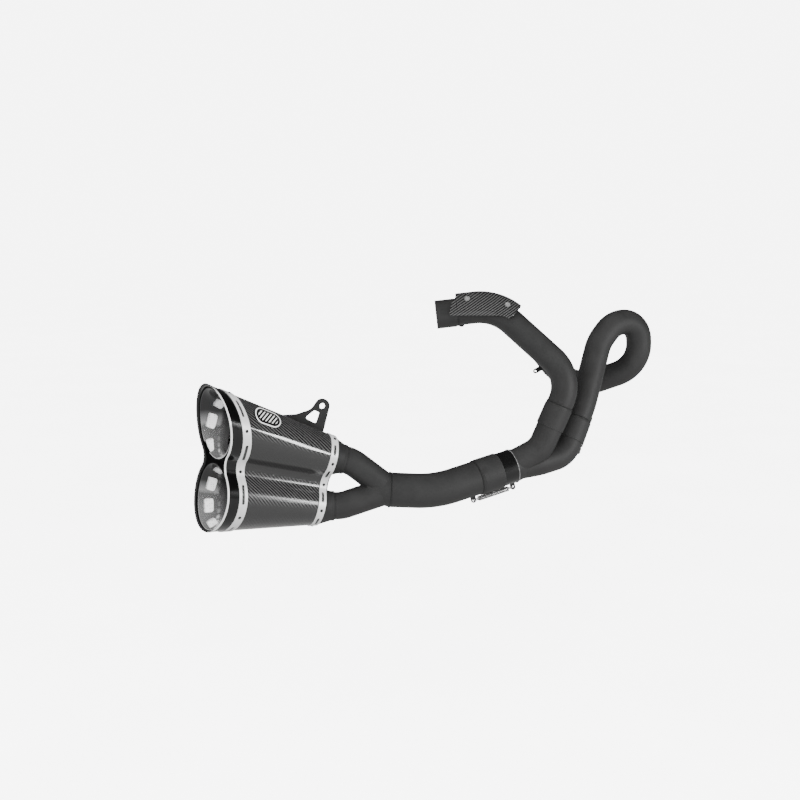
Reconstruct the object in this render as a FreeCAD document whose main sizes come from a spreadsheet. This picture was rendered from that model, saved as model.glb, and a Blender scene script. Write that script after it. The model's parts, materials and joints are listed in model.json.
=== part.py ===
import FreeCAD, Part

# Two-into-one-into-two exhaust system for a twin-cylinder motorcycle.
# Row frame: +X towards the front of the motorcycle, +Y inboard, +Z up, millimetres.
# Origin: centre of the hanger bracket's hole, whose axis lies along Y.

import math
import os

import Sketcher

V = FreeCAD.Vector
Z_UP = V(0, 0, 1)
doc = FreeCAD.newDocument("exhaust_system")
sheet = doc.addObject("Spreadsheet::Sheet", "Dims")

# ---------------------------------------------------------------- driving dimensions
DIMENSIONS = {
    # pipes
    "header_od": 50,
    "mid_od": 64,
    "pipe_wall": 1.5,
    # slip joints: an expanded sleeve over a plain spigot
    "slip_gap": 0.05,
    "sleeve_wall": 1.7,
    "sleeve_length": 40,
    "sleeve_taper": 5,
    "spigot_insert": 34,
    "spigot_bare": 30,
    # cylinder-head sockets
    "port_bore_radius": 25.2,
    "port_socket_length": 36,
    # springs and their hook plates
    "spring_radius": 5,
    "spring_bore": 3,
    "spring_wire": 0.9,
    "spring_eye": 4.5,
    "spring_stand": 6.5,
    "hook_thickness": 2.5,
    "hook_length": 10,
    "hook_hole": 2.4,
    "front_port_eye": 41,
    # silencer sections: two lobes blended at the waist, at the inlet and at the outlet
    "inlet_upper": 38,
    "inlet_lower": 35,
    "inlet_spacing": 92,
    "inlet_blend": 24,
    "outlet_upper": 67,
    "outlet_lower": 64,
    "outlet_spacing": 124,
    "outlet_blend": 26,
    "outlet_hollow": 588,
    # silencer shells
    "sleeve_skin": 1.6,
    "cap_skin": 1.5,
    "strap_thickness": 1.4,
    "outlet_strap_width": 15,
    "inlet_strap_width": 14,
    "outlet_band": 21,
    "rim_depth": 2,
    "strap_slot_width": 5,
    "outlet_slot_length": 34,
    "inlet_slot_length": 20,
    "rivet_head": 3.2,
    "rivet_shank": 1.6,
    # gas path inside the silencer
    "core_rear": 36,
    "core_front": 27,
    "core_wall": 1.2,
    "upper_mouth": 57,
    "upper_throat": 40,
    "lower_mouth": 54.3,
    "lower_throat": 38,
    "mouth_shift": 2.4,
    "bell_sheet": 1.2,
    "bell_depth": 41,
    "window_width": 26,
    "window_length": 17,
    "window_corner": 4,
    "backing_gap": 3,
    "baffle_depth": 66,
    "baffle_sheet": 2,
    # hanger bracket
    "hanger_hole": 5.25,
    "hanger_eye": 13.5,
    "hanger_thickness": 4,
    "foot_thickness": 2.2,
    # badge plate and heat shield
    "badge_length": 54,
    "badge_height": 34,
    "badge_thickness": 0.8,
    "shield_radius": 34.5,
    "shield_skin": 1.5,
    "shield_screw": 3,
    "screw_head": 5,
    "washer_radius": 7.2,
    "washer_thickness": 1,
    "boss_radius": 5.5,
}


def fill_sheet(values):
    for row, (alias, value) in enumerate(values.items(), 1):
        sheet.set("A%d" % row, alias)
        sheet.set("B%d" % row, str(value))
        sheet.setAlias("B%d" % row, alias)
    doc.recompute()


fill_sheet(DIMENSIONS)


def dim(alias):
    return float(sheet.get(alias))


# Bend points of each pipe's centreline and the bend radius at each inner point.
REAR_ROUTE = [V(235, 45, 158), V(342, 8, 171), V(469, -63, 43), V(427, -59, -51)]
REAR_BENDS = [90, 70]
FRONT_ROUTE = [V(486, -27, -84), V(519, -14, -18), V(565, 15, 99), V(598, 22, 135), V(663, 34, 140),
               V(672, 45, 45), V(591, 97, 8), V(553, 126, 8), V(525, 176, 63)]
FRONT_BENDS = [200, 85, 55, 44, 66, 90, 60]
MERGE_POINT = V(117, -35, -156)
MID_BEND = V(200, -50, -162)
COLLECTOR_OUTLET = V(357, -43, -125)
MID_BEND_RADIUS = 200
REAR_LEG_CORNER = 46
FRONT_LEG_CORNER = 31
FRONT_LEG_BEND = V(412, -46, -121)
LEG_BEND_RADIUS = 50
UPPER_LOBE_INLET = V(9, -21, -90)
LOWER_LOBE_INLET = V(-13, -22, -180)
UPPER_BRANCH_BEND = V(47, -24, -100)
LOWER_BRANCH_BEND = V(28, -29, -181)
BRANCH_BEND_RADIUS = 62

# Silencer end frames: local X points forward along the silencer, local Z up its section.
INLET_FRAME = FreeCAD.Placement(V(-2, -22, -135), FreeCAD.Rotation(3, 14, 0))
OUTLET_FRAME = FreeCAD.Placement(V(-205, -45, -80.5), FreeCAD.Rotation(17, 2, 3))
SECTION_TURN = FreeCAD.Rotation(V(0, 1, 0), V(0, 0, 1), V(1, 0, 0), "XYZ")
FRONT_STATION = -0.05
REAR_STATION = 1.12
HALF_SPACE = 500


# ---------------------------------------------------------------- small helpers
def unit(vector):
    return FreeCAD.Vector(vector).normalize()


def bind(item, **expressions):
    for name, expression in expressions.items():
        item.setExpression(name, expression)
    return item


def facing(point, direction):
    return FreeCAD.Placement(point, FreeCAD.Rotation(Z_UP, direction))


def cylinder(name, point, direction, radius, height):
    item = doc.addObject("Part::Cylinder", name)
    item.Placement = facing(point, direction)
    return bind(item, Radius=radius, Height=height)


def cone(name, point, direction, radius_start, radius_end, height):
    item = doc.addObject("Part::Cone", name)
    item.Placement = facing(point, direction)
    return bind(item, Radius1=radius_start, Radius2=radius_end, Height=height)


def block(name, placement, low, high):
    """Box from low to high in the given frame."""
    item = doc.addObject("Part::Box", name)
    item.Length, item.Width, item.Height = high - low
    item.Placement = placement.multiply(FreeCAD.Placement(low, FreeCAD.Rotation()))
    return item


def cut(name, base, *tools):
    for index, tool in enumerate(tools):
        last = index == len(tools) - 1
        item = doc.addObject("Part::Cut", name if last else "%s_cut%d" % (name, index))
        item.Base = base
        item.Tool = tool
        base = item
    return base


def common(name, base, *tools):
    item = doc.addObject("Part::MultiCommon", name)
    item.Shapes = [base] + list(tools)
    return item


def fuse(name, *shapes):
    item = doc.addObject("Part::MultiFuse", name)
    item.Shapes = list(shapes)
    return item


def group(name, solids):
    item = doc.addObject("Part::Compound", name)
    item.Links = solids
    return item


NODES = []


def node(item, label):
    """Marks a finished sub-part; its label is its file's name."""
    item.Label = label
    NODES.append(item)
    return item


# ---------------------------------------------------------------- pipes
def bent_path(name, points, radii):
    """Straight runs joined by tangent arcs."""
    edges = []
    start = points[0]
    for before, corner, after, radius in zip(points, points[1:], points[2:], radii):
        back = unit(before - corner)
        onward = unit(after - corner)
        half_turn = (math.pi - back.getAngle(onward)) / 2
        reach = radius * math.tan(half_turn)
        enter = corner + back * reach
        leave = corner + onward * reach
        crown = corner + unit(back + onward) * radius * (1 / math.cos(half_turn) - 1)
        edges.append(Part.LineSegment(start, enter).toShape())
        edges.append(Part.Arc(enter, crown, leave).toShape())
        start = leave
    edges.append(Part.LineSegment(start, points[-1]).toShape())
    path = doc.addObject("Part::Feature", name)
    path.Shape = Part.Wire(edges)
    return path


def sweep(name, path, radius):
    """Round bar of one radius along a path."""
    first = path.Shape.Edges[0]
    circle = doc.addObject("Part::Circle", name + "_section")
    circle.Placement = facing(first.valueAt(first.FirstParameter), first.tangentAt(first.FirstParameter))
    bind(circle, Radius=radius)
    bar = doc.addObject("Part::Sweep", name)
    bar.Sections = [circle]
    bar.Spine = (path, ["Edge%d" % (i + 1) for i in range(len(path.Shape.Edges))])
    bar.Solid = True
    bar.Frenet = False
    return bar


HEADER_OUTER = "Dims.header_od / 2"
HEADER_INNER = "Dims.header_od / 2 - Dims.pipe_wall"
MID_OUTER = "Dims.mid_od / 2"
MID_INNER = "Dims.mid_od / 2 - Dims.pipe_wall"


def pipe(label, path, outer=HEADER_OUTER, inner=HEADER_INNER):
    tube = cut(label, sweep(label + "_outside", path, outer), sweep(label + "_inside", path, inner))
    return node(tube, label)


def straight_tube(label, point, direction, outer, inner, length):
    outside = cylinder(label + "_outside", point, direction, outer, length)
    inside = cylinder(label + "_inside", point, direction, inner, length)
    return node(cut(label, outside, inside), label)


def slip_sleeve(label, mouth, inward, bore, wall, length, pipe_outer, pipe_inner):
    """Expanded pipe end: a straight socket that tapers down to the pipe it is welded to."""
    taper_at = mouth + inward * dim(length)
    length = "Dims." + length
    taper = "Dims.sleeve_taper"
    outer = "(%s) + %s" % (bore, wall)
    outside = fuse(label + "_outside", cylinder(label + "_barrel", mouth, inward, outer, length),
                   cone(label + "_neck", taper_at, inward, outer, pipe_outer, taper))
    inside = fuse(label + "_inside", cylinder(label + "_bore", mouth, inward, bore, length),
                  cone(label + "_throat", taper_at, inward, bore, pipe_inner, taper))
    return node(cut(label, outside, inside), label)


def joint_bore(outer):
    return "%s + Dims.slip_gap" % outer


# ---------------------------------------------------------------- hooks and springs
def across(direction, hint):
    """Unit vector nearest to hint at right angles to direction."""
    return unit(hint - direction * hint.dot(direction))


def hook_plate(name, axis_point, along, outward, eye_height, body):
    """Plate that stands on a pipe, with an eye for a spring; the pipe's solid is cut away from it."""
    side = outward.cross(along)
    frame = FreeCAD.Placement(axis_point, FreeCAD.Rotation(along, side, outward, "ZXY"))
    half_length = dim("hook_length") / 2
    half_thickness = dim("hook_thickness") / 2
    plate = block(name + "_plate", frame, V(-half_length, -half_thickness, dim("header_od") / 2 - 6),
                  V(half_length, half_thickness, eye_height))
    eye_point = axis_point + outward * eye_height
    tip = cylinder(name + "_tip", eye_point - side * half_thickness, side, "Dims.hook_length / 2",
                   "Dims.hook_thickness")
    eye = cylinder(name + "_eye", eye_point - side * 5, side, "Dims.hook_hole", "10 mm")
    return cut(name, fuse(name + "_outline", plate, tip), eye, body)


def spring(label, start, end, outward):
    """Coil between two eyes, with a closed loop through each of them."""
    along = unit(end - start)
    loop = dim("spring_eye")
    coil_start = start + along * loop * 2
    coil_length = "%.4f mm" % ((end - start).Length - 4 * loop)
    coil = cut(label + "_coil",
               cylinder(label + "_outside", coil_start, along, "Dims.spring_radius", coil_length),
               cylinder(label + "_inside", coil_start, along, "Dims.spring_bore", coil_length))
    loops = []
    for index, (eye, inward) in enumerate(((start, along), (end, -along))):
        ring = doc.addObject("Part::Torus", "%s_loop%d" % (label, index))
        ring.Placement = facing(eye + inward * loop, outward)
        loops.append(bind(ring, Radius1="Dims.spring_eye", Radius2="Dims.spring_wire"))
    return node(fuse(label, coil, *loops), label)


# ---------------------------------------------------------------- pipe ends and joint axes
MID_AXIS = unit(COLLECTOR_OUTLET - MID_BEND)
REAR_AXIS = unit(REAR_ROUTE[-2] - REAR_ROUTE[-1])
FRONT_AXIS = unit(FRONT_ROUTE[1] - FRONT_ROUTE[0])
REAR_SEAM = REAR_ROUTE[-1]
FRONT_SEAM = FRONT_ROUTE[0]
MID_SEAM = COLLECTOR_OUTLET - MID_AXIS * dim("spigot_bare")
SOCKET_REACH = dim("sleeve_length") + dim("sleeve_taper")
PORT_REACH = dim("port_socket_length") + dim("sleeve_taper")
HEADER_HOOK_SURFACE = dim("header_od") / 2 + dim("slip_gap") + dim("sleeve_wall")
MID_HOOK_SURFACE = dim("mid_od") / 2 + dim("slip_gap") + dim("sleeve_wall")


# ---------------------------------------------------------------- rear header
def rear_header():
    inward = unit(REAR_ROUTE[1] - REAR_ROUTE[0])
    points = list(REAR_ROUTE)
    points[0] = REAR_ROUTE[0] + inward * PORT_REACH
    points[-1] = REAR_SEAM + REAR_AXIS * SOCKET_REACH
    path = bent_path("rear_path", points, REAR_BENDS)
    pipe("rear_header_pipe", path)
    slip_sleeve("rear_header_sleeve", REAR_SEAM, REAR_AXIS, joint_bore(HEADER_OUTER), "Dims.sleeve_wall",
                "sleeve_length", HEADER_OUTER, HEADER_INNER)
    slip_sleeve("rear_port_socket", REAR_ROUTE[0], inward, "Dims.port_bore_radius", "Dims.sleeve_wall",
                "port_socket_length", HEADER_OUTER, HEADER_INNER)
    return inward


def front_header():
    inward = unit(FRONT_ROUTE[-2] - FRONT_ROUTE[-1])
    points = list(FRONT_ROUTE)
    points[0] = FRONT_SEAM + FRONT_AXIS * SOCKET_REACH
    points[-1] = FRONT_ROUTE[-1] + inward * PORT_REACH
    path = bent_path("front_path", points, FRONT_BENDS)
    pipe("front_header_pipe", path)
    slip_sleeve("front_header_sleeve", FRONT_SEAM, FRONT_AXIS, joint_bore(HEADER_OUTER), "Dims.sleeve_wall",
                "sleeve_length", HEADER_OUTER, HEADER_INNER)
    slip_sleeve("front_port_socket", FRONT_ROUTE[-1], inward, "Dims.port_bore_radius", "Dims.sleeve_wall",
                "port_socket_length", HEADER_OUTER, HEADER_INNER)
    return inward


REAR_PORT_AXIS = rear_header()
FRONT_PORT_AXIS = front_header()


# ---------------------------------------------------------------- collector
def collector():
    insert = dim("spigot_insert")
    rear_leg = bent_path("rear_leg_path", [REAR_SEAM + REAR_AXIS * insert, REAR_SEAM - REAR_AXIS * REAR_LEG_CORNER,
                                           COLLECTOR_OUTLET - MID_AXIS * 20], [LEG_BEND_RADIUS])
    front_leg = bent_path("front_leg_path", [FRONT_SEAM + FRONT_AXIS * insert,
                                             FRONT_SEAM - FRONT_AXIS * FRONT_LEG_CORNER, FRONT_LEG_BEND,
                                             COLLECTOR_OUTLET - MID_AXIS * 20], [LEG_BEND_RADIUS, 90])
    keep = block("collector_keep", FreeCAD.Placement(COLLECTOR_OUTLET, FreeCAD.Rotation(V(1, 0, 0), MID_AXIS)),
                 V(0, -HALF_SPACE, -HALF_SPACE), V(HALF_SPACE, HALF_SPACE, HALF_SPACE))
    solids = {}
    for side, leg_radius, neck_radius in (("outside", HEADER_OUTER, MID_OUTER), ("inside", HEADER_INNER, MID_INNER)):
        neck = cone("collector_neck_" + side, COLLECTOR_OUTLET, MID_AXIS, neck_radius, leg_radius + " - 1", "52 mm")
        body = fuse("collector_" + side, sweep("rear_leg_" + side, rear_leg, leg_radius),
                    sweep("front_leg_" + side, front_leg, leg_radius), neck)
        solids[side] = common("collector_%s_trimmed" % side, body, keep)
    node(cut("collector_body", solids["outside"], solids["inside"]), "collector_body")
    length = "Dims.spigot_bare + Dims.spigot_insert"
    straight_tube("collector_spigot", COLLECTOR_OUTLET, -MID_AXIS, MID_OUTER, MID_INNER, length)
    return solids["outside"]


COLLECTOR_SOLID = collector()


# ---------------------------------------------------------------- mid pipe and Y-piece
def mid_pipe():
    socket_end = MID_SEAM - MID_AXIS * SOCKET_REACH
    path = bent_path("mid_path", [MERGE_POINT, MID_BEND, socket_end], [MID_BEND_RADIUS])
    pipe("mid_pipe", path, MID_OUTER, MID_INNER)
    slip_sleeve("mid_sleeve", MID_SEAM, -MID_AXIS, joint_bore(MID_OUTER), "Dims.sleeve_wall", "sleeve_length",
                MID_OUTER, MID_INNER)


def y_piece():
    """Two branches that merge into the mid pipe; the merge is a piece of its own."""
    axis = unit(MID_BEND - MERGE_POINT)
    frame = FreeCAD.Placement(MERGE_POINT, FreeCAD.Rotation(V(1, 0, 0), axis))
    crotch = 58
    low = V(-crotch, -HALF_SPACE, -HALF_SPACE)
    merge_zone = block("merge_zone", frame, low, V(0, HALF_SPACE, HALF_SPACE))
    branch_zone = block("branch_zone", frame, V(-HALF_SPACE, -HALF_SPACE, -HALF_SPACE),
                        V(-crotch, HALF_SPACE, HALF_SPACE))
    paths = {}
    for name, start, bend in (("upper", UPPER_LOBE_INLET, UPPER_BRANCH_BEND),
                              ("lower", LOWER_LOBE_INLET, LOWER_BRANCH_BEND)):
        beyond = MERGE_POINT + unit(MERGE_POINT - bend) * 40
        paths[name] = bent_path("%s_branch_path" % name, [start, bend, beyond], [BRANCH_BEND_RADIUS])
    merged = {}
    bars = {}
    for side, branch_radius, neck_radius in (("outside", HEADER_OUTER, MID_OUTER),
                                             ("inside", HEADER_INNER, MID_INNER)):
        for name in paths:
            bars[name, side] = sweep("%s_branch_%s" % (name, side), paths[name], branch_radius)
        neck = cone("merge_neck_" + side, MERGE_POINT, -axis, neck_radius, branch_radius + " - 4", "44 mm")
        body = fuse("merge_" + side, bars["upper", side], bars["lower", side], neck)
        merged[side] = common("merge_%s_trimmed" % side, body, merge_zone)
    node(cut("y_merge", merged["outside"], merged["inside"]), "y_merge")
    for name in paths:
        label = "y_%s_branch" % name
        tube = cut(label + "_tube", bars[name, "outside"], bars[name, "inside"])
        node(common(label, tube, branch_zone), label)


mid_pipe()
y_piece()


# ---------------------------------------------------------------- silencer envelope
def section_frame(station):
    """Frame of the silencer's section; station 0 is the inlet plane and 1 the outlet plane."""
    inlet, outlet = INLET_FRAME, OUTLET_FRAME
    centre = inlet.Base + (outlet.Base - inlet.Base) * station
    angles = [a + (b - a) * station for a, b in zip(inlet.Rotation.toEuler(), outlet.Rotation.toEuler())]
    return FreeCAD.Placement(centre, FreeCAD.Rotation(*angles))


def between(size, station):
    return "Dims.inlet_%s + (Dims.outlet_%s - Dims.inlet_%s) * %g" % (size, size, size, station)


def station_value(size, station):
    return dim("inlet_" + size) + (dim("outlet_" + size) - dim("inlet_" + size)) * station


def lobes(station, offset):
    """Radii, half spacing and blend centre of the two-lobed outline grown by offset."""
    upper = station_value("upper", station) + offset
    lower = station_value("lower", station) + offset
    half = station_value("spacing", station) / 2
    blend = station_value("blend", station) - offset
    a, b, d = upper + blend, lower + blend, half * 2
    drop = (a * a - b * b + d * d) / (2 * d)
    return upper, lower, half, blend, V(math.sqrt(a * a - drop * drop), half - drop, 0)


def lobe_sketch(name, station, offset):
    """Closed outline of four tangent arcs: upper lobe, waist, lower lobe, waist."""
    upper, lower, half, blend, waist = lobes(station, offset)
    top, bottom = V(0, half, 0), V(0, -half, 0)
    left, right = V(-waist.x, waist.y, 0), waist
    sketch = doc.addObject("Sketcher::SketchObject", name)
    sketch.Placement = section_frame(station).multiply(FreeCAD.Placement(V(), SECTION_TURN))

    def arc(centre, radius, start, end):
        circle = Part.Circle(centre, Z_UP, radius)
        return sketch.addGeometry(Part.ArcOfCircle(circle, start, end), False)

    def bearing(origin, target):
        return math.atan2(target.y - origin.y, target.x - origin.x)

    turn = 2 * math.pi
    upper_arc = arc(top, upper, bearing(top, right), bearing(top, left) + turn)
    left_arc = arc(left, blend, bearing(left, bottom), bearing(left, top))
    lower_arc = arc(bottom, lower, bearing(bottom, left), bearing(bottom, right) + turn)
    right_arc = arc(right, blend, bearing(right, top) % turn, bearing(right, bottom) % turn)

    def constrain(alias, *arguments):
        index = sketch.addConstraint(Sketcher.Constraint(*arguments))
        if alias:
            sketch.renameConstraint(index, alias)

    constrain("", "Tangent", upper_arc, 2, left_arc, 2)
    constrain("", "Tangent", left_arc, 1, lower_arc, 1)
    constrain("", "Tangent", lower_arc, 2, right_arc, 2)
    constrain("", "Tangent", right_arc, 1, upper_arc, 1)
    constrain("", "PointOnObject", upper_arc, 3, -2)
    constrain("", "PointOnObject", lower_arc, 3, -2)
    constrain("", "Equal", left_arc, right_arc)
    constrain("upper_height", "DistanceY", -1, 1, upper_arc, 3, half)
    constrain("lower_height", "DistanceY", lower_arc, 3, -1, 1, half)
    constrain("upper_radius", "Radius", upper_arc, upper)
    constrain("lower_radius", "Radius", lower_arc, lower)
    constrain("blend_radius", "Radius", right_arc, blend)
    for alias, size, shift in (("upper_radius", "upper", offset), ("lower_radius", "lower", offset),
                               ("blend_radius", "blend", -offset)):
        sketch.setExpression("Constraints." + alias, "%s + %g" % (between(size, station), shift))
    for alias in ("upper_height", "lower_height"):
        sketch.setExpression("Constraints." + alias, "(%s) / 2" % between("spacing", station))
    return sketch


ENVELOPES = {}


def envelope(offset):
    """Solid silencer body grown by offset, ruled from the front station to the rear station."""
    if offset not in ENVELOPES:
        name = "envelope_%s" % ("%.2f" % offset).replace("-", "in").replace(".", "_")
        loft = doc.addObject("Part::Loft", name)
        loft.Sections = [lobe_sketch(name + "_front", FRONT_STATION, offset),
                         lobe_sketch(name + "_rear", REAR_STATION, offset)]
        loft.Solid = True
        loft.Ruled = True
        ENVELOPES[offset] = loft
    return ENVELOPES[offset]


HOLLOWS = {}


def behind(depth):
    """Space behind the silencer's hollow end face, moved forward by depth."""
    if depth not in HOLLOWS:
        name = "behind_%s" % ("%.2f" % depth).replace("-", "in").replace(".", "_")
        axis = OUTLET_FRAME.Rotation.multVec(V(0, 1, 0))
        start = OUTLET_FRAME.multVec(V(-dim("outlet_hollow"), -HALF_SPACE / 2, 0))
        HOLLOWS[depth] = cylinder(name, start, axis, "Dims.outlet_hollow + %g" % depth, "%g mm" % HALF_SPACE)
    return HOLLOWS[depth]


def inlet_slab(name, rear, front):
    return block(name, INLET_FRAME, V(rear, -HALF_SPACE / 2, -HALF_SPACE / 2),
                 V(front, HALF_SPACE / 2, HALF_SPACE / 2))


def shell(name, outer, inner):
    return cut(name, envelope(outer), envelope(inner))


# ---------------------------------------------------------------- silencer shells
FLANGE_OFFSET = -1.65
SLEEVE_INSIDE = -1.6
CAP_INSIDE = -3.2
RIM_INSIDE = -1.2


def silencer_shells():
    sleeve_zone = inlet_slab("sleeve_zone", -HALF_SPACE, 0)
    sleeve = common("sleeve_shell", shell("sleeve_wall", 0, SLEEVE_INSIDE), sleeve_zone)
    node(cut("carbon_sleeve", sleeve, behind(dim("outlet_band"))), "carbon_sleeve")

    band = cut("cap_band", common("cap_band_zone", envelope(0), behind(dim("outlet_band"))),
               behind(dim("rim_depth")))
    flange = cut("cap_flange", common("cap_flange_zone", envelope(FLANGE_OFFSET), behind(45)), behind(19))
    node(cut("outlet_cap", fuse("cap_solid", band, flange), envelope(CAP_INSIDE)), "outlet_cap")

    trim = cut("trim_solid", common("trim_zone", envelope(0.5), behind(dim("rim_depth"))), behind(-0.5))
    node(cut("rim_trim", trim, envelope(RIM_INSIDE)), "rim_trim")


def inlet_cap():
    cup = common("inlet_cup", envelope(FLANGE_OFFSET), inlet_slab("inlet_cup_zone", -16, 3))
    hollow = common("inlet_cup_hollow", envelope(CAP_INSIDE), inlet_slab("inlet_hollow_zone", -17, 1))
    outside, inside = [cup], [hollow]
    for name, start, bend, lobe in (("upper", UPPER_LOBE_INLET, UPPER_BRANCH_BEND, "inlet_upper"),
                                    ("lower", LOWER_LOBE_INLET, LOWER_BRANCH_BEND, "inlet_lower")):
        along = unit(bend - start)
        wide = "Dims.%s - 2" % lobe
        outside.append(cone(name + "_shoulder", start, along, wide, HEADER_OUTER + " + 2", "21 mm"))
        outside.append(cylinder(name + "_collar", start + along * 21, along, HEADER_OUTER + " + 2", "5 mm"))
        inside.append(cone(name + "_shoulder_hollow", start - along * 2, along, wide + " - 1.5", HEADER_OUTER,
                           "21 mm"))
        inside.append(cylinder(name + "_collar_bore", start - along, along, HEADER_OUTER, "30 mm"))
    node(cut("inlet_cap", fuse("inlet_cap_outside", *outside), *inside), "inlet_cap")


# ---------------------------------------------------------------- straps
def outline_points(station, offset, steps=24):
    """Points round the two-lobed outline, from the outboard waist upwards, evenly shared among its arcs."""
    upper, lower, half, blend, waist = lobes(station, offset)
    top, bottom = V(0, half, 0), V(0, -half, 0)
    left, right = V(-waist.x, waist.y, 0), waist
    frame = section_frame(station).multiply(FreeCAD.Placement(V(), SECTION_TURN))

    def bearing(origin, target):
        return math.atan2(target.y - origin.y, target.x - origin.x)

    def sweep_arc(centre, radius, start, end):
        points = []
        for step in range(steps):
            angle = start + (end - start) * step / steps
            points.append(frame.multVec(centre + V(math.cos(angle), math.sin(angle), 0) * radius))
        return points

    turn = 2 * math.pi
    points = sweep_arc(left, blend, 0, bearing(left, top))
    points += sweep_arc(top, upper, bearing(top, left) + turn, bearing(top, right))
    points += sweep_arc(right, blend, bearing(right, top) % turn, bearing(right, bottom) % turn)
    points += sweep_arc(bottom, lower, bearing(bottom, right) + turn, bearing(bottom, left))
    points += sweep_arc(left, blend, bearing(left, bottom), 0)
    return points


def strap_loop(offset, place):
    """Points of the strap's middle line; place says how far along its ruling each point lies."""
    fronts = outline_points(FRONT_STATION, offset)
    rears = outline_points(REAR_STATION, offset)
    return [front + (rear - front) * place(front, rear) for front, rear in zip(fronts, rears)]


def hollow_place(depth):
    """Share of the ruling at which it meets the hollow face moved forward by depth."""
    to_local = OUTLET_FRAME.inverse()

    def place(front, rear):
        share = 1
        for _ in range(5):
            point = to_local.multVec(front + (rear - front) * share)
            wanted = depth - point.z ** 2 / (2 * dim("outlet_hollow"))
            run = to_local.multVec(rear).x - to_local.multVec(front).x
            share += (wanted - point.x) / run
        return share

    return place


def flat_place(depth):
    """Share of the ruling at which it meets the plane a given depth behind the inlet plane."""
    to_local = INLET_FRAME.inverse()

    def place(front, rear):
        start, end = to_local.multVec(front).x, to_local.multVec(rear).x
        return (-depth - start) / (end - start)

    return place


def loop_frames(points, count, phase):
    """Frames evenly spaced round a loop: X along the loop, Z outward."""
    closed = points + [points[0]]
    lengths = [0]
    for here, there in zip(closed, closed[1:]):
        lengths.append(lengths[-1] + (there - here).Length)
    middle = V()
    for point in points:
        middle += point * (1 / len(points))
    forward = INLET_FRAME.Rotation.multVec(V(1, 0, 0))
    frames = []
    for index in range(count):
        wanted = ((index + phase) / count % 1) * lengths[-1]
        side = max(i for i in range(len(points)) if lengths[i] <= wanted)
        here, there = closed[side], closed[side + 1]
        point = here + (there - here) * ((wanted - lengths[side]) / (lengths[side + 1] - lengths[side]))
        along = unit(there - here)
        outward = unit(forward.cross(along))
        frames.append(FreeCAD.Placement(point, FreeCAD.Rotation(along, outward.cross(along), outward, "ZXY")))
    return frames


def rounded_block(name, frame, length, width, low, high, corner):
    """Block centred on the frame's origin, its upright edges rounded."""
    raw = block(name + "_raw", frame, V(-length / 2, -width / 2, low), V(length / 2, width / 2, high))
    raw.recompute()
    upright = frame.Rotation.multVec(Z_UP)
    rounded = doc.addObject("Part::Fillet", name)
    rounded.Base = raw
    picked = []
    for index, edge in enumerate(raw.Shape.Edges, 1):
        run = unit(edge.Vertexes[1].Point - edge.Vertexes[0].Point)
        if abs(run.dot(upright)) > 0.99:
            picked.append((index, corner, corner))
    rounded.Edges = picked
    return rounded


def rivet(name, frame, surface, reach):
    """Low domed head pressed into a surface above the frame's origin, on a shank through the shells below."""
    outward = frame.Rotation.multVec(Z_UP)
    head = cone(name + "_head", frame.Base + outward * (surface - 0.4), outward, "Dims.rivet_head",
                "Dims.rivet_head - 1.2", "1.5 mm")
    shank = cylinder(name + "_shank", frame.Base - outward * reach, outward, "Dims.rivet_shank",
                     "%g mm" % (reach + surface))
    return fuse(name, head, shank)


RIVET_PHASE = -0.05


def strap(label, solid, loop, slot_length, count):
    """Band with rivets and slots in turn; the first rivet lies just below the outboard waist."""
    slots = []
    for index, frame in enumerate(loop_frames(loop, count, RIVET_PHASE + 0.5)):
        slots.append(rounded_block("%s_slot%d" % (label, index), frame, slot_length, dim("strap_slot_width"),
                                   -5, 5, dim("strap_slot_width") / 2 - 0.05))
    band = cut(label + "_band", solid, envelope(0))
    node(cut(label, band, group(label + "_slots", slots)), label)
    rivets = [rivet("%s_rivet%d" % (label, index), frame, dim("strap_thickness"), 4)
              for index, frame in enumerate(loop_frames(loop, count, RIVET_PHASE))]
    node(group(label + "_rivets", rivets), label + "_rivets")


def straps():
    crown = envelope(dim("strap_thickness"))
    rear_edge = dim("outlet_band")
    front_edge = rear_edge + dim("outlet_strap_width")
    outlet = cut("outlet_strap_solid", common("outlet_strap_zone", crown, behind(front_edge)), behind(rear_edge))
    strap("outlet_strap", outlet, strap_loop(0, hollow_place((rear_edge + front_edge) / 2)),
          dim("outlet_slot_length"), 8)
    width = dim("inlet_strap_width")
    inlet = common("inlet_strap_solid", crown, inlet_slab("inlet_strap_slab", -width, 0))
    strap("inlet_strap", inlet, strap_loop(0, flat_place(width / 2)), dim("inlet_slot_length"), 9)


# ---------------------------------------------------------------- gas path inside the silencer
LOBE_SIGNS = {"upper": 1, "lower": -1}
BELL_STEPS = [-0.12, 0, 0.12, 0.3, 0.6, 1]
BELL_CURVE = 2.2
WINDOWS = 7
WINDOW_STEP = 0.2
WINDOW_PHASE = {"upper": 0.23, "lower": 0.58}


def lobe_axis(name):
    sign = LOBE_SIGNS[name]
    rear = OUTLET_FRAME.multVec(V(0, 0, sign * dim("outlet_spacing") / 2))
    front = INLET_FRAME.multVec(V(0, 0, sign * dim("inlet_spacing") / 2))
    return rear, unit(front - rear), (front - rear).Length


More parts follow.
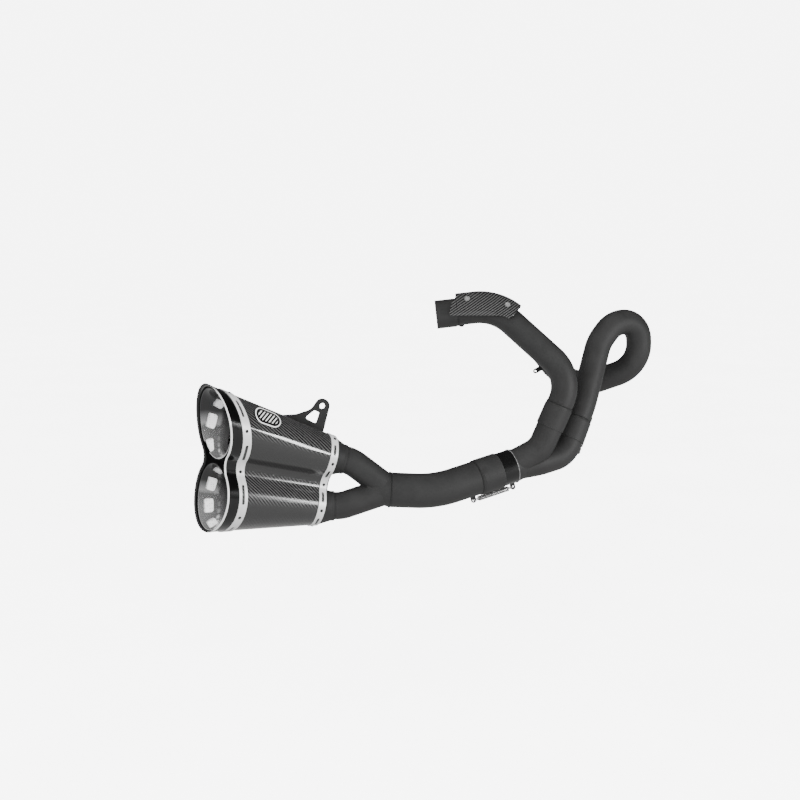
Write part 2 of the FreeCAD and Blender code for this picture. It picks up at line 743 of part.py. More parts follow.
def bell_loft(name, lobe, growth, steps):
    """Trumpet whose mouth lies in the silencer's hollow face and whose throat is square to the lobe."""
    rear, along, _ = lobe_axis(lobe)
    sign = LOBE_SIGNS[lobe]
    lean = -sign * math.degrees(dim("outlet_spacing") / 2 / dim("outlet_hollow"))
    mouth_turn = OUTLET_FRAME.Rotation.multiply(FreeCAD.Rotation(0, lean, 0)).multiply(SECTION_TURN)
    upright = unit(mouth_turn.multVec(V(0, 1, 0)))
    throat_turn = FreeCAD.Rotation(V(), across(along, upright), along, "ZYX")
    depth = dim("bell_depth")
    circles = []
    for index, step in enumerate(steps):
        circle = doc.addObject("Part::Circle", "%s_circle%d" % (name, index))
        blend = min(max(step, 0), 1)
        centre = rear + along * (step * depth) + upright * (sign * dim("mouth_shift") * (1 - blend))
        circle.Placement = FreeCAD.Placement(centre, mouth_turn.slerp(throat_turn, blend))
        share = (1 - step) ** BELL_CURVE
        bind(circle, Radius="Dims.%s_throat + (Dims.%s_mouth - Dims.%s_throat) * %.4f + %g"
             % (lobe, lobe, lobe, share, growth))
        circles.append(circle)
    loft = doc.addObject("Part::Loft", name)
    loft.Sections = circles
    loft.Solid = True
    loft.Ruled = False
    return loft


def bell_windows(lobe):
    rear, along, _ = lobe_axis(lobe)
    upright = across(along, OUTLET_FRAME.Rotation.multVec(Z_UP))
    lean = math.radians(35)
    shift = LOBE_SIGNS[lobe] * dim("mouth_shift") * (1 - WINDOW_STEP)
    centre = rear + along * (WINDOW_STEP * dim("bell_depth")) + upright * shift
    flare = (1 - WINDOW_STEP) ** BELL_CURVE
    reach = dim(lobe + "_throat") + (dim(lobe + "_mouth") - dim(lobe + "_throat")) * flare
    windows = []
    for index in range(WINDOWS):
        angle = 360 * (index + WINDOW_PHASE[lobe]) / WINDOWS
        radial = FreeCAD.Rotation(along, angle).multVec(upright)
        slope = along * math.cos(lean) - radial * math.sin(lean)
        outward = radial * math.cos(lean) + along * math.sin(lean)
        frame = FreeCAD.Placement(centre + radial * reach,
                                  FreeCAD.Rotation(slope, outward.cross(slope), outward, "ZXY"))
        windows.append(rounded_block("%s_window%d" % (lobe, index), frame, dim("window_length"),
                                     dim("window_width"), -12, 9, dim("window_corner")))
    return group(lobe + "_windows", windows)


def half_zone(lobe):
    """This lobe's side of the silencer's waist."""
    low, high = ((0.5, HALF_SPACE) if lobe == "upper" else (-HALF_SPACE, -0.5))
    return block(lobe + "_half_zone", OUTLET_FRAME, V(-HALF_SPACE, -HALF_SPACE, low),
                 V(HALF_SPACE, HALF_SPACE, high))


def gas_path():
    face = cut("outlet_face_solid", common("outlet_face_zone", envelope(CAP_INSIDE - 0.05), behind(4.2)),
               behind(2.7))
    bars = []
    for lobe in LOBE_SIGNS:
        rear, along, length = lobe_axis(lobe)
        outer = bell_loft(lobe + "_bell_outside", lobe, dim("bell_sheet"), BELL_STEPS)
        inner = bell_loft(lobe + "_bell_inside", lobe, 0, BELL_STEPS)
        wall = cut(lobe + "_bell_wall", common(lobe + "_bell_room", outer, envelope(CAP_INSIDE - 0.1)), inner,
                   behind(2.7))
        face = cut("outlet_face_" + lobe, face, outer)
        node(cut(lobe + "_bell", wall, bell_windows(lobe)), lobe + "_bell")
        gap = dim("bell_sheet") + dim("backing_gap")
        steps = [-0.12, 0, 0.15, 0.35, 0.6]
        backing = cut(lobe + "_backing_wall", bell_loft(lobe + "_backing_outside", lobe, gap + 1, steps),
                      bell_loft(lobe + "_backing_inside", lobe, gap, steps), behind(4.2))
        node(common(lobe + "_bell_backing", backing, envelope(CAP_INSIDE - 0.1), half_zone(lobe)),
             lobe + "_bell_backing")
        start = rear + along * (dim("bell_depth") + 2)
        core_length = "%.3f mm" % (length - dim("bell_depth") - 7)
        bar = cone(lobe + "_core_bar", start, along, "Dims.core_rear", "Dims.core_front", core_length)
        hole = cone(lobe + "_core_hole", start, along, "Dims.core_rear - Dims.core_wall",
                    "Dims.core_front - Dims.core_wall", core_length)
        node(cut(lobe + "_core", bar, hole), lobe + "_core")
        bars.append(bar)
    node(face, "outlet_face")
    front = dim("baffle_depth") + dim("baffle_sheet")
    baffle = cut("baffle_solid", common("baffle_zone", envelope(FLANGE_OFFSET), behind(front)),
                 behind(dim("baffle_depth")))
    node(cut("baffle", baffle, *bars), "baffle")
    wool = common("wool_zone", envelope(-2.5), inlet_slab("wool_slab", -HALF_SPACE, -18))
    node(cut("absorber_wool", wool, behind(front + 1), *bars), "absorber_wool")


# ---------------------------------------------------------------- badge and hanger bracket
def badge():
    station = 0.68
    frame = section_frame(station)
    tilt = math.radians(44)
    centre = frame.multVec(V(0, 0, station_value("spacing", station) / 2))
    forward = lobe_axis("upper")[1]
    outward = across(forward, frame.Rotation.multVec(V(0, -math.cos(tilt), math.sin(tilt))))
    lobe_radius = station_value("upper", station)
    turn = FreeCAD.Rotation(forward, outward.cross(forward), outward, "ZXY")
    plate = rounded_block("badge_outline", FreeCAD.Placement(centre + outward * lobe_radius, turn),
                          dim("badge_length"), dim("badge_height"), -12, 8, dim("badge_height") / 2 - 0.05)
    skin = shell("badge_skin", dim("badge_thickness"), 0)
    node(common("badge_plate", skin, plate), "badge_plate")


def flat_wire(name, points, radii):
    """Closed flat wire: straight runs joined by tangent arcs."""
    start = (points[0] + points[-1]) * 0.5
    return bent_path(name, [start] + points + [start], radii)


def surface_hit(shape, x, y):
    line = Part.LineSegment(V(x, y, -60), V(x, y, 150)).toShape()
    return max((vertex.Point for vertex in shape.common(line).Vertexes), key=lambda point: point.z)


def hanger_bracket():
    half = dim("hanger_thickness") / 2
    # eye, swept rear edge, foot line and front edge of the plate, in X and Z
    outline = [V(16, half, 7.5), V(-4.6, half, 17), V(-20, half, -5), V(-48, half, -13), V(-74, half, -13),
               V(-74, half, -62), V(-2.6, half, -62)]
    corner_radii = [13.4, 13.4, 22, 30, 2, 2, 2]
    profile = flat_wire("hanger_outline", outline, corner_radii)
    window = flat_wire("hanger_window_outline", [V(-33, half, -20), V(-15, half, -7), V(-5, half, -12),
                                                 V(-12, half, -32)], [3, 3, 3, 3])
    plates = []
    for name, wire, thickness in (("hanger_plate", profile, "Dims.hanger_thickness"),
                                  ("hanger_window", window, "Dims.hanger_thickness")):
        item = doc.addObject("Part::Extrusion", name)
        item.Base = wire
        item.DirMode = "Custom"
        item.Dir = V(0, -1, 0)
        item.Solid = True
        plates.append(bind(item, LengthFwd=thickness))
    hole = cylinder("hanger_hole", V(0, half + 1, 0), V(0, -1, 0), "Dims.hanger_hole", "Dims.hanger_thickness + 2")
    crown = envelope(dim("foot_thickness"))
    plate = cut("hanger_blade", plates[0], plates[1], hole, crown)
    low, high = V(-78, -13, -80), V(-2, 11, 60)
    foot = common("hanger_foot", shell("hanger_foot_skin", dim("foot_thickness"), 0),
                  block("hanger_foot_zone", FreeCAD.Placement(), low, high))
    node(fuse("hanger_bracket", plate, foot), "hanger_bracket")
    doc.recompute()
    rivets = []
    for index, (x, y) in enumerate(((-68, -8), (-42, -8), (-16, -8), (-66, 5), (-18, 5))):
        here = surface_hit(crown.Shape, x, y)
        along = unit(surface_hit(crown.Shape, x + 2, y) - here)
        across_skin = unit(surface_hit(crown.Shape, x, y + 1) - here)
        outward = unit(along.cross(across_skin))
        frame = FreeCAD.Placement(here, FreeCAD.Rotation(along, outward.cross(along), outward, "ZXY"))
        rivets.append(rivet("hanger_rivet%d" % index, frame, 0, 6.5))
    node(group("hanger_rivets", rivets), "hanger_rivets")


# ---------------------------------------------------------------- heat shield on the rear header
SHIELD_SCREWS = [61, 127]
SCREW_TILT = math.radians(42)


def path_frame(points, radii, distance, tilt):
    """Point of a pipe's centreline, its tangent and the direction tilted up from outboard."""
    path = bent_path("measure_%d" % round(distance), points, radii)
    for edge in path.Shape.Edges:
        if distance <= edge.Length:
            break
        distance -= edge.Length
    parameter = edge.getParameterByLength(distance)
    point = edge.valueAt(parameter)
    tangent = unit(edge.tangentAt(parameter))
    doc.removeObject(path.Name)
    up = across(tangent, Z_UP)
    outboard = tangent.cross(up)
    if outboard.y > 0:
        outboard = -outboard
    return point, tangent, outboard * math.cos(tilt) + up * math.sin(tilt)


def heat_shield():
    inward = REAR_PORT_AXIS
    corner = REAR_ROUTE[1]
    onward = unit(REAR_ROUTE[2] - corner)
    path = bent_path("shield_path", [REAR_ROUTE[0] + inward * 20, corner, corner + onward * 80], REAR_BENDS[:1])
    skin = cut("shield_skin", sweep("shield_outside", path, "Dims.shield_radius"),
               sweep("shield_inside", path, "Dims.shield_radius - Dims.shield_skin"))
    run = unit(V(inward.x, inward.y, 0))
    outboard = V(run.y, -run.x, 0)
    # rounded tail, swept-up nose and straight lower edge; the upper edge is the skin itself
    trim_points = [(-88, -12.5), (-88, 10), (-40, 55), (84, 55), (84, 43), (24, -19), (12, -12.5)]
    wire_points = [corner + run * along + Z_UP * up + outboard * 60 for along, up in trim_points]
    wire = flat_wire("shield_trim_outline", wire_points, [4, 40, 20, 2, 2, 5, 25])
    trim = doc.addObject("Part::Extrusion", "shield_trim")
    trim.Base = wire
    trim.DirMode = "Custom"
    trim.Dir = -outboard
    trim.LengthFwd = 78
    trim.Solid = True
    holes, bosses, washers, screws = [], [], [], []
    radius = dim("shield_radius")
    skin_base = radius - dim("shield_skin")
    pipe_solid = doc.getObject("rear_header_pipe_outside")
    for index, distance in enumerate(SHIELD_SCREWS):
        tag = "shield_%d_" % index
        point, _, outward = path_frame(REAR_ROUTE, REAR_BENDS, distance, SCREW_TILT)
        holes.append(cylinder(tag + "hole", point + outward * 28, outward, "Dims.shield_screw + 0.3", "12 mm"))
        post = cylinder(tag + "post", point + outward * 20, outward, "Dims.boss_radius",
                        "%.3f mm" % (skin_base - 0.8 - 20))
        thread = cylinder(tag + "thread", point + outward * 26.5, outward, "Dims.shield_screw", "10 mm")
        bosses.append(cut(tag + "boss", post, thread, pipe_solid))
        washer = cylinder(tag + "washer_disc", point + outward * radius, outward, "Dims.washer_radius",
                          "Dims.washer_thickness")
        washer_hole = cylinder(tag + "washer_hole", point + outward * (radius - 1), outward,
                               "Dims.shield_screw + 0.3", "4 mm")
        washers.append(cut(tag + "washer", washer, washer_hole))
        head_base = point + outward * (radius + dim("washer_thickness"))
        head = cylinder(tag + "head", head_base, outward, "Dims.screw_head", "3 mm")
        socket = cylinder(tag + "socket", head_base + outward * 1.2, outward, "Dims.screw_head / 2", "4 mm")
        shank = cylinder(tag + "shank", head_base + outward * 0.5, -outward, "Dims.shield_screw - 0.05", "8.5 mm")
        screws.append(cut(tag + "screw", fuse(tag + "screw_solid", head, shank), socket))
    trimmed = common("shield_trimmed", skin, trim)
    node(cut("heat_shield", trimmed, *holes), "heat_shield")
    node(group("shield_bosses", bosses), "shield_bosses")
    node(group("shield_washers", washers), "shield_washers")
    node(group("shield_screws", screws), "shield_screws")


# ---------------------------------------------------------------- spring joints
def joint_set(name, seam, axis, outward, upper_reach, lower_reach, surface, upper_body, lower_body):
    """A spring across a slip joint, with a hook plate on each side of it."""
    outward = across(axis, outward)
    height = surface + dim("spring_stand")
    upper = seam + axis * upper_reach
    lower = seam - axis * lower_reach
    plates = (hook_plate(name + "_upper_hook", upper, axis, outward, height, upper_body),
              hook_plate(name + "_lower_hook", lower, axis, outward, height, lower_body))
    spring(name + "_spring", lower + outward * height, upper + outward * height, outward)
    return plates


def springs_and_hooks():
    mid_bar = doc.getObject("mid_pipe_outside")
    spigot_bar = doc.getObject("collector_spigot_outside")
    rear_bar = doc.getObject("rear_header_pipe_outside")
    front_bar = doc.getObject("front_header_pipe_outside")
    collector_hooks, mid_hooks = [], []
    for name, outward in (("mid_lower", V(0, 0, -1)), ("mid_inboard", V(0.3, 0.95, 0))):
        upper, lower = joint_set(name, MID_SEAM, MID_AXIS, outward, 23.5, 60, MID_HOOK_SURFACE,
                                 spigot_bar, mid_bar)
        collector_hooks.append(upper)
        mid_hooks.append(lower)
    rear_upper, rear_lower = joint_set("rear_joint", REAR_SEAM, REAR_AXIS, V(0.15, 0.95, 0), 56, 14,
                                       HEADER_HOOK_SURFACE, rear_bar, COLLECTOR_SOLID)
    front_upper, front_lower = joint_set("front_joint", FRONT_SEAM, FRONT_AXIS, V(0.933, 0.358, 0), 58, 12,
                                         HEADER_HOOK_SURFACE, front_bar, COLLECTOR_SOLID)
    collector_hooks += [rear_lower, front_lower]
    port_height = dim("port_bore_radius") + dim("sleeve_wall") + dim("spring_stand") - 1
    rear_port = hook_plate("rear_port_hook", REAR_ROUTE[0] + REAR_PORT_AXIS * (PORT_REACH + 6), REAR_PORT_AXIS,
                           across(REAR_PORT_AXIS, V(0.2, 0.62, -0.85)), port_height, rear_bar)
    front_port = hook_plate("front_port_hook", FRONT_ROUTE[-1] + FRONT_PORT_AXIS * 24, FRONT_PORT_AXIS,
                            across(FRONT_PORT_AXIS, V(-0.951, 0.309, 0)), dim("front_port_eye"),
                            doc.getObject("front_port_socket_outside"))
    node(group("mid_pipe_hooks", mid_hooks), "mid_pipe_hooks")
    node(group("collector_hooks", collector_hooks), "collector_hooks")
    node(group("rear_header_hooks", [rear_upper, rear_port]), "rear_header_hooks")
    node(group("front_header_hooks", [front_upper, front_port]), "front_header_hooks")


silencer_shells()
inlet_cap()
straps()
gas_path()
badge()
hanger_bracket()
heat_shield()
springs_and_hooks()


# ---------------------------------------------------------------- checks and export
def check_document():
    doc.recompute()
    faults = [item.Name for item in doc.Objects if "Invalid" in item.State or "Error" in item.State]
    for item in NODES:
        shape = item.Shape
        if shape.isNull() or not shape.isValid() or not shape.Solids:
            faults.append(item.Label)
    if faults:
        raise RuntimeError("not valid: " + ", ".join(faults))


def export_nodes():
    os.makedirs("parts", exist_ok=True)
    for item in NODES:
        item.Shape.exportStep("parts/%s.step" % item.Label)
        print("%-24s solids %2d  volume %10.0f mm3" % (item.Label, len(item.Shape.Solids), item.Shape.Volume))


check_document()
export_nodes()
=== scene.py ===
import json
import math
import random

import bpy
import numpy as np
from mathutils import Euler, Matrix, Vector


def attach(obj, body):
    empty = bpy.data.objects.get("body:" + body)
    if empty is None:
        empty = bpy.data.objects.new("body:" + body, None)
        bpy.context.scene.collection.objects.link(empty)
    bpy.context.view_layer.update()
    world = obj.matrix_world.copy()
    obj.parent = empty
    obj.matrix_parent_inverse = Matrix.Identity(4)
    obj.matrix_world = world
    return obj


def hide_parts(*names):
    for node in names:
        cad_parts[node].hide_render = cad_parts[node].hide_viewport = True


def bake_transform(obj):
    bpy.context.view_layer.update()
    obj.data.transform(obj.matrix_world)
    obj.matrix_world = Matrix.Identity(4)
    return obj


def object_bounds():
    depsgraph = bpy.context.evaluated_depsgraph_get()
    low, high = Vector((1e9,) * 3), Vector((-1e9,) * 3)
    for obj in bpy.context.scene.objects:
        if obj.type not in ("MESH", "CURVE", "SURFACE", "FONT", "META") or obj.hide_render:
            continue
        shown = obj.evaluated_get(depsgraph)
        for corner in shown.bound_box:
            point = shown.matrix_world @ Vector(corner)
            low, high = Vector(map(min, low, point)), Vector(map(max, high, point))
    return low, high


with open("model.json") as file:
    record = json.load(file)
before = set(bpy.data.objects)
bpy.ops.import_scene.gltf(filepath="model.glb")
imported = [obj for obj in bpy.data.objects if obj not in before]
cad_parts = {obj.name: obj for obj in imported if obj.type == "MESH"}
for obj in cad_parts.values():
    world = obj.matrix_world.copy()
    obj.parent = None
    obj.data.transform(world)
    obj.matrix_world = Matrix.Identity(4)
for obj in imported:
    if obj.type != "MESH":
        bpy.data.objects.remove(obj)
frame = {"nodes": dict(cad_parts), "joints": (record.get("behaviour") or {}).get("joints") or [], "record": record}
CAD_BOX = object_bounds()
NODES = frame["nodes"]
MM = 0.001


# ---------------------------------------------------------------- node trees
class Tree:
    """A small builder of shader node trees."""

    def __init__(self, tree):
        self.tree = tree

    def add(self, kind, props=None, **inputs):
        node = self.tree.nodes.new("ShaderNode" + kind)
        for name, value in (props or {}).items():
            setattr(node, name, value)
        for name, value in inputs.items():
            key = int(name[1:]) if name[0] == "i" and name[1:].isdigit() else name.replace("_", " ")
            self.set(node.inputs[key], value)
        return node

    def set(self, socket, value):
        if isinstance(value, bpy.types.NodeSocket):
            self.tree.links.new(value, socket)
        else:
            socket.default_value = value

    def math(self, operation, a, b=0.0):
        return self.add("Math", {"operation": operation}, i0=a, i1=b).outputs[0]

    def vector(self, operation, a, b):
        node = self.add("VectorMath", {"operation": operation}, i0=a, i1=b)
        return node.outputs["Value" if operation == "DOT_PRODUCT" else "Vector"]

    def scaled(self, vector, factor):
        node = self.add("VectorMath", {"operation": "SCALE"}, i0=vector)
        node.inputs["Scale"].default_value = factor
        return node.outputs[0]

    def stretched(self, vector, scale):
        return self.add("Mapping", Vector=vector, Scale=scale).outputs[0]

    def part(self, vector, axis):
        return self.add("SeparateXYZ", Vector=vector).outputs["XYZ".index(axis)]

    def noise(self, vector, scale, detail=3.0, roughness=0.5):
        node = self.add("TexNoise", Vector=vector, Scale=scale, Detail=detail, Roughness=roughness)
        return node.outputs["Fac"]

    def ramp(self, factor, stops):
        node = self.add("ValToRGB", Fac=factor)
        elements = node.color_ramp.elements
        while len(elements) < len(stops):
            elements.new(0.5)
        for element, (position, colour) in zip(elements, stops):
            element.position = position
            element.color = colour if len(colour) == 4 else (*colour, 1)
        return node.outputs[0]

    def mix(self, factor, a, b):
        node = self.add("Mix", {"data_type": "RGBA"})
        self.set(node.inputs["Factor"], factor)
        self.set(node.inputs[6], a)
        self.set(node.inputs[7], b)
        return node.outputs[2]

    def choose(self, factor, a, b):
        return self.add("Mix", Factor=factor, i2=a, i3=b).outputs[0]

    def between(self, factor, low, high):
        return self.add("MapRange", Value=factor, To_Min=low, To_Max=high).outputs[0]

    def remap(self, value, start, end, low=0.0, high=1.0):
        node = self.add("MapRange", Value=value, From_Min=start, From_Max=end, To_Min=low, To_Max=high)
        return node.outputs[0]

    def bump(self, height, strength, distance, normal=None):
        node = self.add("Bump", Height=height, Strength=strength, Distance=distance)
        if normal is not None:
            self.set(node.inputs["Normal"], normal)
        return node.outputs[0]

    def object_point(self):
        return self.add("TexCoord").outputs["Object"]

    def uv(self):
        return self.add("UVMap", {"uv_map": "metres"}).outputs[0]


def grey(value):
    return (value, value, value, 1.0)


def new_material(name):
    material = bpy.data.materials.new(name)
    material.use_nodes = True
    material.node_tree.nodes.clear()
    tree = Tree(material.node_tree)
    shader = tree.add("BsdfPrincipled")
    output = tree.add("OutputMaterial")
    tree.tree.links.new(shader.outputs[0], output.inputs[0])
    return material, tree, shader


def put(tree, shader, **values):
    for name, value in values.items():
        tree.set(shader.inputs[name.replace("_", " ")], value)


# ---------------------------------------------------------------- materials
def ceramic_coating(name, low=0.0095, high=0.018, rough=(0.5, 0.68), grain=1.0):
    """Matt ceramic-coated steel: powdery grain, cloudy tone, faint scuffs."""
    material, tree, shader = new_material(name)
    point = tree.object_point()
    cloud = tree.noise(point, 28, 4, 0.55)
    grit = tree.noise(point, 900, 2, 0.6)
    speck = tree.noise(point, 2600, 1, 0.5)
    tone = tree.math("ADD", tree.math("MULTIPLY", cloud, 0.55), tree.math("MULTIPLY", grit, 0.45))
    colour = tree.ramp(tone, [(0.3, grey(low)), (0.7, grey(high))])
    scuff = tree.noise(tree.stretched(point, (60, 60, 900)), 1, 2)
    scuffs = tree.ramp(scuff, [(0.66, grey(0)), (0.74, grey(1))])
    colour = tree.mix(tree.math("MULTIPLY", scuffs, 0.12), colour, grey(0.03))
    height = tree.math("ADD", tree.math("MULTIPLY", grit, 0.7), tree.math("MULTIPLY", speck, 0.5))
    put(tree, shader, Base_Color=colour, Roughness=tree.between(cloud, *rough), Metallic=0.0,
        Specular_IOR_Level=0.5, Normal=tree.bump(height, 0.35 * grain, 0.00012))
    return material


def carbon_twill(name, turn=-5.0, tow=0.0018, dull_coat=0.06, haze=1.0):
    """Clear-coated two-by-two twill with a painted sheen on its warp tows; the uv map is in metres.

    turn is the weave's angle in degrees, tow one tow's width, dull_coat the clear coat's roughness where
    the first uv coordinate is negative, and haze how far the undersides lose the weave's painted sheen to a flat
    painted shade.
    """
    material, tree, shader = new_material(name)
    wobble = tree.add("TexNoise", Vector=tree.uv(), Scale=55, Detail=1).outputs["Color"]
    placed = tree.vector("ADD", tree.uv(), tree.scaled(wobble, 0.0009))
    spin = tree.add("VectorRotate", {"rotation_type": "Z_AXIS"}, Vector=placed, Angle=math.radians(turn))
    turned = spin.outputs[0]
    cells = tree.scaled(turned, 1 / tow)
    across, along = tree.part(cells, "X"), tree.part(cells, "Y")
    column, row = tree.math("FLOOR", across), tree.math("FLOOR", along)
    inside_column, inside_row = tree.math("FRACT", across), tree.math("FRACT", along)
    phase = tree.math("FLOORED_MODULO", tree.math("SUBTRACT", column, row), 4.0)
    warp_up = tree.math("LESS_THAN", phase, 1.5)

    def crown(position):
        centred = tree.math("SUBTRACT", tree.math("MULTIPLY", position, 2), 1)
        return tree.math("SUBTRACT", 1, tree.math("POWER", tree.math("ABSOLUTE", centred), 2.2))

    warp_height, weft_height = crown(inside_column), crown(inside_row)
    height = tree.choose(warp_up, weft_height, warp_height)

    def fibres(scale):
        return tree.noise(tree.stretched(turned, scale), 1, 2, 0.6)

    strands = tree.choose(warp_up, fibres((500, 9000, 1)), fibres((9000, 500, 1)))
    # painted sheen: the warp tows are painted bright and the weft tows dark, standing in for the fibres'
    # directional reflection; each tow is also painted darker towards its edges, a painted shade
    warp_sheen_tone = tree.between(strands, 0.015, 0.25)
    weft_sheen_tone = tree.between(strands, 0.001, 0.006)
    tone = tree.math("MULTIPLY", tree.choose(warp_up, weft_sheen_tone, warp_sheen_tone), tree.math("POWER", height, 2.0))
    # painted shade: faces turned downwards lose the weave's painted sheen and are painted a flat dark tone instead
    facing_up = tree.part(tree.add("NewGeometry").outputs["Normal"], "Z")
    painted_underside_shade = tree.remap(facing_up, 0.12, -0.06, 0.0, haze)
    tone = tree.choose(painted_underside_shade, tone, tree.between(strands, 0.016, 0.03))
    colour = tree.add("CombineColor", Red=tone, Green=tone, Blue=tone).outputs[0]
    normal = tree.bump(tree.math("ADD", height, tree.math("MULTIPLY", strands, 0.25)), 0.55, 0.0004)
    coat_normal = tree.bump(tree.noise(tree.object_point(), 45, 2), 0.06, 0.0006)
    coat_roughness = tree.remap(tree.part(tree.uv(), "X"), 0.01, -0.01, 0.07, dull_coat)
    put(tree, shader, Base_Color=colour, Metallic=0.3, Roughness=tree.between(strands, 0.34, 0.5),
        Specular_IOR_Level=0.2, Normal=normal, Coat_Weight=1.0, Coat_Roughness=coat_roughness, Coat_IOR=1.5,
        Coat_Normal=coat_normal)
    return material


def gloss_black(name):
    """Deep gloss lacquer with faint orange peel and dust."""
    material, tree, shader = new_material(name)
    point = tree.object_point()
    dust = tree.ramp(tree.noise(point, 1300, 2), [(0.7, grey(0)), (0.78, grey(1))])
    colour = tree.mix(tree.math("MULTIPLY", dust, 0.05), grey(0.0015), grey(0.02))
    peel = tree.noise(point, 260, 2)
    put(tree, shader, Base_Color=colour, Roughness=tree.between(tree.noise(point, 70, 3), 0.12, 0.22),
        Specular_IOR_Level=0.35, Normal=tree.bump(peel, 0.05, 0.0004), Coat_Weight=0.3, Coat_Roughness=0.05)
    return material


def dull_black(name):
    """Dull black lining that hardly reflects: fine grit and sooty clouds."""
    material, tree, shader = new_material(name)
    point = tree.object_point()
    cloud = tree.noise(point, 60, 3)
    grit = tree.noise(point, 1400, 2)
    put(tree, shader, Base_Color=tree.ramp(cloud, [(0.3, grey(0.0006)), (0.7, grey(0.0014))]), Roughness=0.8,
        Specular_IOR_Level=0.04, Normal=tree.bump(grit, 0.2, 0.0001))
    return material


def brushed(name, axis, tone, rough, lines=2600, depth=0.25, metallic=1.0, stain=0.12):
    """Brushed metal whose scratches lie in planes square to the given axis."""
    material, tree, shader = new_material(name)
    point = tree.object_point()
    axis = Vector(axis).normalized()
    along = tree.vector("DOT_PRODUCT", point, tuple(axis))
    fine = tree.add("CombineXYZ", X=tree.math("MULTIPLY", along, lines)).outputs[0]
    scratch = tree.noise(tree.vector("ADD", fine, tree.scaled(point, 38)), 1, 3, 0.65)
    cloud = tree.noise(point, 34, 3)
    tint = tree.ramp(scratch, [(0.25, grey(tone * 0.72)), (0.75, grey(tone))])
    colour = tree.mix(tree.math("MULTIPLY", cloud, stain), tint, grey(tone * 0.45))
    put(tree, shader, Base_Color=colour, Metallic=metallic, Roughness=tree.between(scratch, *rough),
        Normal=tree.bump(scratch, depth, 0.00008))
    return material


def spun(name, origin, axis, tone, rough, soot, shade_painted_above=True):
    """Spun metal: turning marks about the axis, soot towards the throat and, on a bell, painted shade on its upper
    half.
    """
    material, tree, shader = new_material(name)
    point = tree.object_point()
    axis = Vector(axis).normalized()
    offset = tree.vector("SUBTRACT", point, tuple(origin))
    depth = tree.vector("DOT_PRODUCT", offset, tuple(axis))
    marks = tree.add("CombineXYZ", X=tree.math("MULTIPLY", depth, 1500)).outputs[0]
    scratch = tree.noise(tree.vector("ADD", marks, tree.scaled(point, 9)), 1, 4, 0.6)
    haze = tree.noise(point, 60, 3)
    tint = tree.ramp(scratch, [(0.3, grey(tone * 0.8)), (0.7, grey(tone))])
    grime = tree.math("MULTIPLY", tree.remap(depth, 0.0, 0.045), soot)
    grime = tree.math("ADD", grime, tree.math("MULTIPLY", haze, 0.08))
    colour = tree.mix(grime, tint, grey(0.02))
    # painted shade: a bell's upper half is painted dark by height, standing in for shade
    if shade_painted_above:
        height = tree.math("ADD", tree.part(offset, "Z"), tree.math("MULTIPLY", haze, 0.008))
        colour = tree.mix(tree.remap(height, -0.028, 0.024), colour, grey(0.05))
    put(tree, shader, Base_Color=colour, Metallic=0.9, Roughness=tree.between(scratch, *rough),
        Normal=tree.bump(scratch, 0.08, 0.00008))
    return material


def rim_metal(name):
    """Bright rolled trim, polished on its outboard side, with its inboard side painted dark and dull: painted
    shade.
    """
    material, tree, shader = new_material(name)
    point = tree.object_point()
    offset = tree.vector("SUBTRACT", point, tuple(np.array(OUTLET_BASE) * MM))
    inboard = tree.vector("DOT_PRODUCT", offset, tuple(turn_matrix(OUTLET_ANGLES)[:, 1]))
    cloud = tree.noise(point, 90, 3)
    # painted shade: the inboard side is painted near black and given little specular
    painted_inboard_shade = tree.remap(tree.math("ADD", inboard, tree.math("MULTIPLY", cloud, 0.01)), -0.03, -0.005)
    clean = tree.ramp(cloud, [(0.3, grey(0.8)), (0.7, grey(0.95))])
    colour = tree.mix(painted_inboard_shade, clean, grey(0.035))
    put(tree, shader, Base_Color=colour, Metallic=0.3, Roughness=tree.between(cloud, 0.14, 0.26),
        Specular_IOR_Level=tree.between(painted_inboard_shade, 0.5, 0.08),
        Normal=tree.bump(tree.noise(point, 1200, 2), 0.06, 0.0001))
    return material


def perforated(name):
    """Bright sheet with a dot pattern, seen behind the bells' windows."""
    material, tree, shader = new_material(name)
    point = tree.object_point()
    dots = tree.add("TexVoronoi", {"feature": "F1"}, Vector=point, Scale=240, Randomness=0.12)
    cells = dots.outputs["Distance"]
    pattern = tree.ramp(cells, [(0.28, grey(0.6)), (0.36, grey(0.95))])
    cloud = tree.noise(point, 50, 3)
    colour = tree.mix(tree.math("MULTIPLY", cloud, 0.25), pattern, grey(0.6))
    put(tree, shader, Base_Color=colour, Metallic=0.2, Roughness=tree.between(cloud, 0.3, 0.5),
        Normal=tree.bump(cells, 0.3, 0.0006))
    return material


def glass_wool(name):
    """Pale tangled fibres."""
    material, tree, shader = new_material(name)
    tangle = tree.noise(tree.stretched(tree.object_point(), (260, 900, 420)), 1, 5, 0.7)
    put(tree, shader, Base_Color=tree.ramp(tangle, [(0.3, (0.55, 0.5, 0.38)), (0.7, (0.82, 0.8, 0.7))]),
        Roughness=0.9, Normal=tree.bump(tangle, 0.8, 0.0015))
    return material


